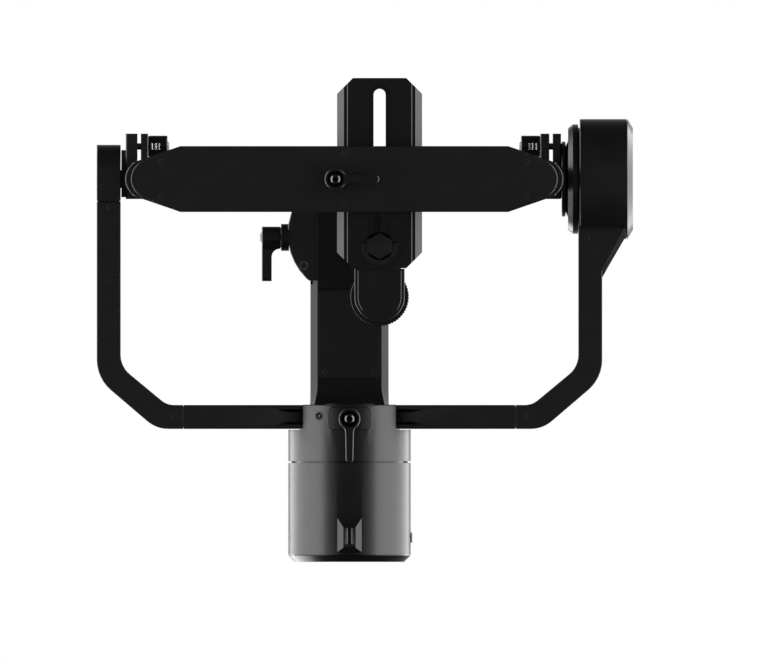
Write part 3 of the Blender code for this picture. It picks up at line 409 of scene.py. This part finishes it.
MATERIALS["steel"] = brushed("steel", (0.62, 0.61, 0.60), (0.16, 0.30), (1, 1, 0.1))
MATERIALS["magnet"] = brushed("magnet", (0.48, 0.47, 0.46), (0.2, 0.3), (1, 1, 1))
MATERIALS["lamination"] = laminated("lamination")
MATERIALS["board"] = circuit("board")
SLOT_OF = {row["node"]: row["material_slot"] for row in frame["record"]["subparts"]}


def paint(obj, look):
    """Gives a piece one finish."""
    obj.data.materials.clear()
    obj.data.materials.append(MATERIALS[look])
    return obj


def keep(node, width):
    """A CAD node whose shape is right: it gets its edges and its finish."""
    obj = paint(NODES[node], SLOT_OF[node])
    return finish_edges(obj, width)


def stand_in(obj, node, width=0.0, look=None):
    """A finer piece in place of a CAD node. look is its finish, if that isn't its slot's."""
    slot = SLOT_OF[node]
    paint(obj, look or slot)
    finish_edges(obj, width)
    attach(obj, NODES[node]["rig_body"])
    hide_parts(node)
    return obj


def add(obj, body, slot, look=None):
    """A small piece that only the looks have. look is its finish, if that isn't its slot's."""
    paint(obj, look or slot)
    finish_edges(obj)
    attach(obj, body)
    return obj


# Levers and screws


LEVER_HUB = 0.0060
LEVER_HALF = 0.00235  # half the handle's width at its neck
LEVER_FILLET = 0.004
LEVER_TIP = (0.0222, 0.0021)  # centre and radius of the handle's end
LEVER_TALL = 0.0104
LEVER_UNDER = 0.0049  # height of the handle's underside
LEVER_EDGE = 0.0004  # width of the cut edges


def lever_plan(grow=0.0):
    """A round hub, a filleted neck and a slim handle along +X, grown all round."""
    hub, half, fillet = LEVER_HUB + grow, LEVER_HALF + grow, LEVER_FILLET - grow
    run = math.sqrt((hub + fillet) ** 2 - (half + fillet) ** 2)
    turn = math.degrees(math.atan2(half + fillet, run))
    plan = arc((0, 0), hub, turn, 360 - turn, 72)
    plan += arc((run, -half - fillet), fillet, 180 - turn, 90, 12)[1:]
    plan += arc((LEVER_TIP[0], 0), LEVER_TIP[1] + grow, -90, 90, 16)
    return plan + arc((run, half + fillet), fillet, -90, turn - 180, 12)[:-1]


def bright_edges(obj, out):
    """Leaves the chamfers that face half outwards as bright cut metal."""
    obj.data.materials.append(MATERIALS["edge"])
    for face in obj.data.polygons:
        if 0.6 < face.normal.dot(out) < 0.8:
            face.material_index = 1


def lever_body(prefix, base, turn):
    """A lever's hub and handle: chamfered above and below, hollow under the handle, bored."""
    heights = ((0, -LEVER_EDGE), (LEVER_EDGE, 0), (LEVER_TALL - LEVER_EDGE, 0), (LEVER_TALL, -LEVER_EDGE))
    sections = [[(x, y, height) for x, y in lever_plan(grow)] for height, grow in heights]
    body = loft(prefix + "_lever_fine", sections, turn, base)
    back, foot, end, half_width = -0.008, 0.0063, 0.026, 0.009
    sweep = 0.0046  # radius of the curve from the hub's side to the handle's underside
    side = [(back, 0), (foot, 0)] + arc((foot + sweep, LEVER_UNDER - sweep), sweep, 180, 90, 12)
    side += [(end, LEVER_UNDER), (end, LEVER_TALL), (back, LEVER_TALL)]
    outline = [(x, -z) for x, z in side]
    envelope = prism("cutter", outline, -half_width, half_width, base, turn @ Y_AXIS)
    combine(body, [envelope], "INTERSECT")
    recess, recess_deep, bore = 0.0046, 0.002, 0.0020
    recess_hole = hole(base, turn, recess, LEVER_TALL - recess_deep, LEVER_TALL + recess_deep)
    return combine(body, [recess_hole, hole(base, turn, bore, -0.002, LEVER_TALL)])


def lever_window(prefix, body, base, turn, body_name):
    """The window in the back of a tilt lever's hub, with the three bright splines behind it."""
    back, front, half = -0.0070, -0.0046, 0.0019
    window = [(back, -half), (front, -half), (front, half), (back, half)]
    combine(body, [prism("cutter", window, 0.0010, 0.0069, base, turn)])
    spline = band(0, 0.0009, -0.0018, 0.0018)
    for i, height in enumerate((0.0015, 0.0036, 0.0056)):
        at = base + turn @ Vector((-0.0049, 0, height))
        add(revolve(f"{prefix}_spline_{i}", spline, at, Y_AXIS, 24), body_name, "steel")


def lever_bolt(prefix, base, out, turn, body_name):
    """The domed bolt with a hex hole in a lever's recess, with painted shade on the floors of the hex
    hole and of the recess.
    """
    node = prefix + "_lever_bolt"
    foot = min((Vector(corner) - base).dot(out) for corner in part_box(node))
    top, crown, bow = 0.0114, 0.0017, 0.0029
    steepest, start, steps = 75, 25, 8  # slope of the dome at its rim and at its flat crown
    profile = [(0, top)]
    for step in range(steps + 1):
        angle = math.radians(start + (steepest - start) * step / steps)
        across = bow * (math.sin(angle) - math.sin(math.radians(start)))
        drop = bow * (math.cos(math.radians(start)) - math.cos(angle))
        profile.append((crown + across, top - drop))
    under, shank = 0.0086, 0.0018
    profile += [(profile[-1][0], under), (shank, under), (shank, foot), (0, foot)]
    bolt = revolve(prefix + "_bolt_fine", profile, base, turn, MEDIUM)
    combine(bolt, [hole(base, turn, 0.0017, 0.0095, 0.013, 6)])
    stand_in(bolt, node, 0.00005, "bolt")
    # painted shade: a near-black hex disc on the floor of the bolt's hex hole and a ring on the floor of
    # the lever's recess
    hole_shade = revolve(prefix + "_bolt_hole_shade", band(0, 0.0016, 0.0094, 0.0099), base, turn, 6)
    recess_shade = revolve(prefix + "_recess_shade", band(0.0030, 0.0045, 0.0081, 0.0087), base, turn, MEDIUM)
    for piece in (hole_shade, recess_shade):
        add(piece, body_name, "black_steel", "painted_shade")


def lever(prefix):
    """A clamp lever with bright edges, the bolt in its recess and the washer under it."""
    joint = JOINTS[prefix + "_lever_turn"]
    base, out, body_name = Vector(joint["pos_m"]), Vector(joint["axis"]), joint["child"]
    low, high = [Vector(corner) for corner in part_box(prefix + "_lever")]
    reach = (low + high) / 2 - base
    handle = (reach - out * reach.dot(out)).normalized()
    turn = Matrix((handle, out.cross(handle), out)).transposed()
    body = lever_body(prefix, base, turn)
    if prefix in ("left", "right"):
        lever_window(prefix, body, base, turn, body_name)
    stand_in(body, prefix + "_lever")
    bright_edges(body, out)
    lever_bolt(prefix, base, out, turn, body_name)
    washer = revolve(prefix + "_lever_washer", band(0.0024, 0.0057, -0.00028, 0.0001), base, turn, MEDIUM)
    add(washer, body_name, "black_steel")


def screw(name, body, at, out, radius=0.00195, sunk=False, look="screw_head"):
    """A small screw with a hex hole, whose head stands in a surface. out is the way its head faces."""
    out = Vector(out)
    turn = out.to_track_quat("Z", "Y").to_matrix()
    proud, foot = 0.00012, -0.0006
    head = [(0, proud), (radius - 0.0004, proud), (radius - 0.0001, proud / 2), (radius, foot), (0, foot)]
    piece = revolve(name, head, at, turn, 48)
    combine(piece, [hole(at, turn, 0.42 * radius, -0.0004, 0.002, 6)])
    add(piece, body, "black_steel", look)
    # painted shadow: a sunk screw gets a thin cone round its head in the near-black rubber finish, for
    # the shade in its countersink
    if sunk:
        ring = [(radius, -0.0005), (radius + 0.0007, 0.00006), (radius, 0.00008)]
        sink_shade = revolve(name + "_countersink_shade", ring, at, turn, 48)
        add(sink_shade, body, "rubber")


def crossbar_screws():
    """Four screws near the ends of the crossbar's cover and two across its middle."""
    low, high = [Vector(corner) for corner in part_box("crossbar_cover")]
    middle = (low + high) / 2
    spots = [(x, y) for x in (-0.1013, 0.1009) for y in (-0.0097, 0.0097)]
    spots += [(-0.0002, y) for y in (-0.0139, 0.0139)]
    for i, (x, y) in enumerate(spots):
        screw(f"cover_screw_{i}", "cage", (middle[0] + x, middle[1] + y, low[2]), (0, 0, -1))


def arm_screws():
    """The small screws of the pan arm, the two round clamps and the U-arm."""
    low, high = [Vector(corner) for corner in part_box("pan_arm_cover")]
    for i, x in enumerate((low[0] + 0.0034, high[0] - 0.0034)):
        screw(f"duct_screw_{i}", "pan_arm", (x, high[1] - 0.0037, low[2]), (0, 0, -1))
    clamp_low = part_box("pan_clamp")[0]
    at = (clamp_low[0] + 0.0089, 0.0175, clamp_low[2])
    screw("pan_clamp_screw", "pan_clamp", at, (0, 0, -1), 0.0018, True)
    motor = Vector(JOINTS["roll"]["pos_m"])
    round_low, round_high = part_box("roll_clamp")
    lean = math.radians(-29.8)  # of the screw, from straight down
    out = Vector((math.sin(lean), 0, -math.cos(lean)))
    at = Vector((motor[0], round_low[1] + 0.0063, motor[2])) + out * round_high[0]
    # painted shade: this sunk screw's whole head gets the near-black finish that stands for shade
    screw("roll_clamp_screw", "roll_clamp", at, out, 0.0018, True, "painted_shade")
    left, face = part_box("left_arm")[0][0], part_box("left_arm")[0][2]
    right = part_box("right_arm")[1][0]
    bar_low, bar_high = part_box("roll_bar")
    spots = [(bar_low[0] - 0.0048, bar_low[1] + 0.0069), (bar_high[0] + 0.0054, bar_low[1] + 0.0063)]
    spots += [(left + 0.0035, -0.0261), (left + 0.0071, -0.0150), (right - 0.0219, 0.0022)]
    for i, (x, y) in enumerate(spots):
        screw(f"arm_screw_{i}", "roll_arm", (x, y, face), (0, 0, -1))


# Finer stand-ins


def filler(name, low, high, body):
    """A thin shim that closes the hairline between two pieces of one body."""
    return add(box(name, low, high), body, "anodised")


def seams():
    """Shims in the joints between the arms' sections and between the motors' shells."""
    inset, over = 0.0006, 0.0001
    bar_low, bar_high = [Vector(corner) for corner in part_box("roll_bar")]
    for arm, far, near in (("left", 1, 0), ("right", 0, 1)):
        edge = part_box("roll_bar")[near][0]
        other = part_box(arm + "_arm")[far][0]
        low = (min(edge, other) - over, bar_low[1] + inset, bar_low[2] + inset)
        high = (max(edge, other) + over, bar_high[1] - inset, bar_high[2] - inset)
        filler(f"{arm}_bar_shim", low, high, "roll_arm")
    end_low, end_high = [Vector(corner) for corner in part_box("left_bearing_housing")]
    arm_low, arm_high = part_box("left_arm")
    low = (end_low[0] + inset, arm_low[1] - 0.0004, arm_low[2] + inset)
    high = (end_high[0] - inset, arm_low[1] + over, arm_high[2] - inset)
    filler("left_end_shim", low, high, "roll_arm")
    tilt = Vector(JOINTS["tilt"]["pos_m"])
    clamp_high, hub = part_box("right_clamp")[1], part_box("tilt_rotor")[0][0]
    low = (clamp_high[0] - over, tilt[1] - 0.0197, tilt[2] - 0.005)
    high = (hub + over, clamp_high[1] - inset, tilt[2] + 0.005)
    filler("right_hub_shim", low, high, "tilt_hubs")
    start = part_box("tilt_cover")[0][0] - tilt[0]
    radius, low, high = 0.0325, start - 0.0005, start + 0.0003
    add(revolve("tilt_cover_shim", band(0, radius, low, high), tilt, X_AXIS), "roll_arm", "anodised")


PORT_X, PORT_MOUTH_X = 0.0034, 0.00675  # half widths of the service port's floor and mouth
PORT_MOUTH_Y, PORT_FLOOR_Y = (-0.0090, 0.0098), (-0.0039, 0.0074)  # its ends, from its middle
PORT_RISE = 0.55  # slope of the walls round the service port


def port_place():
    """Where the service port is: the middle's Y, the rim's Z and the floor's Z."""
    motor_z = JOINTS["roll"]["pos_m"][2]
    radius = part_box("roll_housing")[1][0] - JOINTS["roll"]["pos_m"][0]
    low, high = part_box("service_port")
    middle = (low[1] + high[1]) / 2 - 0.0009
    rim_z = motor_z - math.sqrt(radius ** 2 - PORT_MOUTH_X ** 2)
    return middle, rim_z, rim_z + PORT_RISE * (PORT_MOUTH_X - PORT_X)


def pocket_cutters():
    """Cutters for the pocket with sloped walls round the service port and for the port's window."""
    middle, rim_z, floor_z = port_place()
    spill = 0.003  # how far the cutter stands out of the surface
    sections = []
    for z, share in ((rim_z - spill, 1 + spill / (floor_z - rim_z)), (floor_z, 0)):
        x = PORT_X + share * (PORT_MOUTH_X - PORT_X)
        y0, y1 = [middle + end + share * (mouth - end) for mouth, end in zip(PORT_MOUTH_Y, PORT_FLOOR_Y)]
        sections.append([(-x, y0, z), (x, y0, z), (x, y1, z), (-x, y1, z)])
    window_low = (-PORT_X, middle + PORT_FLOOR_Y[0], floor_z - 0.001)
    window_high = (PORT_X, middle + PORT_FLOOR_Y[1], floor_z + 0.006)
    return [loft("cutter", sections), box("cutter", window_low, window_high)]


def roll_shell():
    """The roll stator's housing, with the port's pocket, the button's hole and the clamp's lip."""
    motor = Vector(JOINTS["roll"]["pos_m"])
    low, high = [Vector(corner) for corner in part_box("roll_housing")]
    radius = high[0] - motor[0]
    front, back = low[1] - motor[1], high[1] - motor[1]
    wall, mouth = radius - 0.007, 0.0307  # inner radii behind and in front
    edge, ledge, ledge_front = 0.00005, radius - 0.003, back - 0.0022
    bore, seat, tube = 0.0056, 0.0084, 0.0112  # radii of the shaft's hole, the bearing and its tube
    tube_front, seat_back, floor_front, floor_back = 0.0040, 0.0195, 0.0215, 0.0245
    profile = [(mouth, front), (radius - edge, front), (radius, front + edge), (radius, back)]
    profile += [(ledge, back), (ledge, ledge_front), (wall, ledge_front)]
    profile += [(wall, floor_back), (bore, floor_back), (bore, seat_back), (seat, seat_back)]
    profile += [(seat, tube_front), (tube, tube_front), (tube, floor_front), (mouth, floor_front)]
    shell = revolve("roll_housing_fine", profile, motor, Y_AXIS, EXTRA_FINE)
    combine(shell, pocket_cutters())
    button_low, button_high = [Vector(corner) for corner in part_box("power_button")]
    middle = (button_low + button_high) / 2
    button = Vector((radius, middle[1], middle[2]))
    combine(shell, [hole(button, X_AXIS, 0.0033, -0.006, 0.003)])
    stand_in(shell, "roll_housing")
    lip = band(radius - 0.0008, radius, -0.0010, -0.0004)
    add(revolve("roll_clamp_lip", lip, motor, Y_AXIS, EXTRA_FINE), "roll_clamp", "anodised_satin")


def service_port():
    """The port's cover on the pocket's floor, with a V-shaped notch along it."""
    middle, _, floor_z = port_place()
    gap, tall = 0.0002, 0.0058
    x, y0, y1 = PORT_X - gap, middle + PORT_FLOOR_Y[0] + gap, middle + PORT_FLOOR_Y[1] - gap
    port = box("service_port_fine", (-x, y0, floor_z), (x, y1, floor_z + tall))
    half, bottom, deep, over = 0.0030, 0.0009, 0.0045, 0.0002
    slope_end = PORT_RISE * (half - bottom)
    notch = [(-half, -over), (half, -over), (half, 0), (bottom, slope_end), (bottom, deep)]
    notch += [(-bottom, deep), (-bottom, slope_end), (-half, 0)]
    sections = [[(x, y, floor_z + z) for x, z in notch] for y in (y0 + 0.0002, y1 - 0.0018)]
    combine(port, [loft("cutter", sections)])
    stand_in(port, "service_port", look="anodised_satin")


def wheel():
    """The thumb wheel, with a fine straight knurl on its rim."""
    at = Vector(JOINTS["thumb_wheel_turn"]["pos_m"])
    low, high = [Vector(corner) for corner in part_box("thumb_wheel")]
    base, top = low[2] - at[2], high[2] - at[2]
    bore, rim, edge, thick = 0.0043, 0.0164, 0.0003, 0.0060
    teeth, half_depth = 60, 0.012  # the teeth's depth is a share of the radius

    def knurl(radius, angle):
        if radius < rim - 2 * edge:
            return radius
        return radius * (1 - half_depth * (1 + math.cos(teeth * angle)))

    profile = [(bore, base), (rim - edge, base), (rim, base + edge)]
    profile += [(rim, base + thick - edge), (rim - edge, base + thick)]
    profile += [(0.0090, base + thick), (0.0080, top), (bore, top)]
    fine = revolve("thumb_wheel_fine", profile, at, Z_AXIS, 480, knurl)
    stand_in(fine, "thumb_wheel")


def cap():
    """The notched steel cap on the front of the U-arm, at the roll axis."""
    low, high = [Vector(corner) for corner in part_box("roll_cap")]
    middle = (low + high) / 2
    radius = (high[0] - low[0]) / 2

    face_radius, count = 0.0124, 60

    def notches(reach, angle):
        notched = math.cos(count * angle) > 0.3 and reach > face_radius + 0.0001
        return 0.985 * reach if notched else reach

    depth = high[1] - low[1]
    profile = [(0, 0), (face_radius, 0), (radius - 0.0009, 0.0003), (radius, 0.0007)]
    profile += [(radius, depth), (0, depth)]
    front = (middle[0], low[1], middle[2])
    fine = revolve("roll_cap_fine", profile, front, Y_AXIS, 12 * count, notches)
    combine(fine, [hole(front, Y_AXIS, 0.0031, -0.001, 0.0011, 6)])
    stand_in(fine, "roll_cap")


def hex_screw():
    """The camera screw: a hexagonal head and a rolled thread."""
    at = Vector(JOINTS["screw_turn"]["pos_m"])
    low, high = [Vector(corner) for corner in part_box("camera_screw")]
    foot, tip = low[2] - at[2], high[2] - at[2]
    flat, side, point = 0.0072, 0.0031, 0.00725
    plan = [(0, -point), (flat, -side), (flat, side), (0, point), (-flat, side), (-flat, -side)]
    seat = foot + 0.0047  # the head's upper face
    head = prism("camera_screw_fine", plan, foot, seat, at)
    # painted shadow: a near-black disc under the head's upper face, that shows as black shade in the gap
    # round the head
    shade = revolve("screw_shade", band(0, 0.0080, seat - 0.0004, seat), at)
    add(shade, "camera_screw", "black_steel", "painted_shade")
    crest, root, pitch = 0.0031, 0.0026, 0.00127
    start = seat - 0.0001
    thread = [(0, start), (crest, start)]
    height = start + pitch
    while height < tip - 2 * pitch:
        thread += [(crest, height), (root, height + pitch / 2)]
        height += pitch
    thread += [(crest, height), (crest, tip - 0.0006), (0.0027, tip), (0, tip)]
    combine(head, [revolve("cutter", thread, at, Z_AXIS, MEDIUM)], "UNION")
    stand_in(head, "camera_screw")


def bracket_shoe():
    """The rear bracket's underside: a raised panel and the rim round it, with cut edges."""
    low, high = [Vector(corner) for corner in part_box("rear_bracket")]
    at = Vector(JOINTS["thumb_wheel_turn"]["pos_m"])
    reach = (high[0] - low[0]) / 2
    rim, edge, over = 0.0018, 0.00025, 0.00004
    panel_front, panel_back = low[1] + 0.0009, at[1] + 0.0082
    back = at[1] + reach
    rows = [
        # height over the underside, inset from the outline, front, back
        (-edge, rim + edge, panel_front + edge, panel_back - edge),
        (0, rim, panel_front, panel_back),
        (0.0001, rim, panel_front, panel_back),
        (0.0002, 0.0003, low[1], back),
        (0.0005, -over, low[1], back),
        (0.0030, -over, low[1], back),
    ]
    sections = []
    for rise, inset, start, end in rows:
        side, z = reach - inset, low[2] + rise
        curve = [(x, min(y, end), z) for x, y in arc((at[0], at[1]), side, 0, 180, 32)]
        sections.append([(at[0] + side, start, z)] + curve + [(at[0] - side, start, z)])
    shoe = add(loft("bracket_shoe", sections), "camera_plate", "anodised_satin")
    bright_edges(shoe, Vector((0, 0, -1)))


def round_jaw():
    """The roll clamp's jaw, with the clamp's curve on its outside."""
    low, high = [Vector(corner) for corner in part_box("roll_jaw")]
    motor = Vector(JOINTS["roll"]["pos_m"])
    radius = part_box("roll_clamp")[1][0] - 0.0001
    outline = rounded_box(low[0], low[1], high[0], high[1], 0.0018)
    jaw = prism("roll_jaw_fine", outline, motor[2] - 0.0360, motor[2] - 0.0196)
    skin = revolve("cutter", band(0, radius, -0.04, 0), motor, Y_AXIS, EXTRA_FINE)
    combine(jaw, [skin], "INTERSECT")
    lever_at = Vector(JOINTS["roll_lever_turn"]["pos_m"])
    combine(jaw, [hole(lever_at, Z_AXIS, 0.0022, -0.02, 0.02)])
    stand_in(jaw, "roll_jaw", 0.00006)


# Stage


LIGHTS = (
    # name, place, power, width along Y or X, height
    ("light_left", (-1.0, -0.03, 0.21), 76, 1.93, 2.56),
    ("light_right", (1.0, -0.03, 0.21), 76, 1.93, 2.56),
    ("low_left", (-1.0, -0.03, -1.4), 2.6, 1.93, 0.6),
    ("low_right", (1.0, -0.03, -1.4), 2.6, 1.93, 0.6),
    ("rim_left", (-1.0, 1.5, 1.6), 19, 0.6, 2.0),
    ("light_below", (0.0, 0.0, -2.2), 1.2, 2.0, 2.0),
    ("light_top", (0.0, 0.0, 1.3), 3, 1.2, 1.2),
    ("light_front", (0.0, -0.9, 1.3), 0.2, 0.7, 0.5),
    ("light_back", (0.0, 0.9, 1.3), 0.2, 0.7, 0.5),
)
LEVEL_LIGHTS = ("light_left", "light_right")
AIM_Z = -0.2  # where the other lights are aimed: at the cage
WORLD_LIGHT = 0.08
CAMERA_PLACE = (0.01776, 0.05328, -1.5)
CAMERA_SPAN = 0.4235  # how much the picture's long side takes in


def set_camera():
    """A straight view from below, without perspective."""
    scene = bpy.context.scene
    data = bpy.data.cameras.new("camera")
    data.type = "ORTHO"
    data.ortho_scale = CAMERA_SPAN
    data.clip_end = 20
    camera = bpy.data.objects.new("camera", data)
    camera.location = CAMERA_PLACE
    camera.rotation_euler = (math.pi, 0, 0)
    scene.collection.objects.link(camera)
    scene.camera = camera
    scene.view_settings.view_transform = "Standard"


def set_lights():
    """Two large side lights, weaker fills and a dim world that the camera sees as white."""
    scene = bpy.context.scene
    for name, at, power, width, height in LIGHTS:
        lamp = bpy.data.lights.new(name, "AREA")
        lamp.shape = "RECTANGLE"
        lamp.size, lamp.size_y = width, height
        lamp.energy = power
        obj = bpy.data.objects.new(name, lamp)
        obj.location = at
        target = Vector((0, 0, at[2] if name in LEVEL_LIGHTS else AIM_Z))
        aim = target - Vector(at)
        obj.rotation_euler = aim.to_track_quat("-Z", "Y").to_euler()
        obj.visible_camera = False
        scene.collection.objects.link(obj)

    world = bpy.data.worlds.new("world")
    scene.world = world
    world.use_nodes = True
    nodes, links = world.node_tree.nodes, world.node_tree.links
    path = nodes.new("ShaderNodeLightPath")
    brightness = nodes.new("ShaderNodeMapRange")
    brightness.inputs["To Min"].default_value = WORLD_LIGHT
    brightness.inputs["To Max"].default_value = 1.0
    links.new(path.outputs["Is Camera Ray"], brightness.inputs["Value"])
    links.new(brightness.outputs["Result"], nodes["Background"].inputs["Strength"])
    nodes["Background"].inputs["Color"].default_value = (1, 1, 1, 1)


def set_floor():
    """A pale floor far below, that neither lights the object nor shows in it."""
    half, top, thick = 14, -2.5, 0.02
    floor = box("floor", (-half, -half, top - thick), (half, half, top))
    material, nodes, links, shader = shader_of("floor")
    slow = noise(nodes, links, 3, 3.0)
    links.new(ramp(nodes, links, slow, (0.86, 0.86, 0.86), (0.9, 0.9, 0.9)), shader.inputs["Base Color"])
    shader.inputs["Roughness"].default_value = 0.9
    shader.inputs["Emission Color"].default_value = (1, 1, 1, 1)
    shader.inputs["Emission Strength"].default_value = 0.85
    floor.data.materials.append(material)
    floor.visible_diffuse = False
    floor.visible_glossy = False


USUAL_BEVEL = 0.00015
BEVELS = {
    "camera_plate": 0.0,
    "pan_jaw": 0.00006,
    "left_clamp": 0.00012,
    "right_clamp": 0.00012,
    "roll_clamp": 0.0001,
    "roll_bar": 0.0001,
    "left_arm": 0.0001,
    "rear_bracket": 0.0003,
    "left_bearing_housing": 0.0001,
}


def main():
    """Builds the stand-ins, finishes the CAD pieces and sets the stage."""
    for prefix in ("pan", "roll", "left", "right", "crossbar"):
        lever(prefix)
    roll_shell()
    service_port()
    wheel()
    cap()
    hex_screw()
    bracket_shoe()
    round_jaw()
    for node in NODES:
        if not NODES[node].hide_render:
            keep(node, BEVELS.get(node, USUAL_BEVEL))
    # painted shade: the pan arm gets the darker, shaded copy of the anodised finish
    paint(NODES["pan_arm"], "anodised_shaded")
    seams()
    crossbar_screws()
    arm_screws()
    set_camera()
    set_lights()
    set_floor()


main()
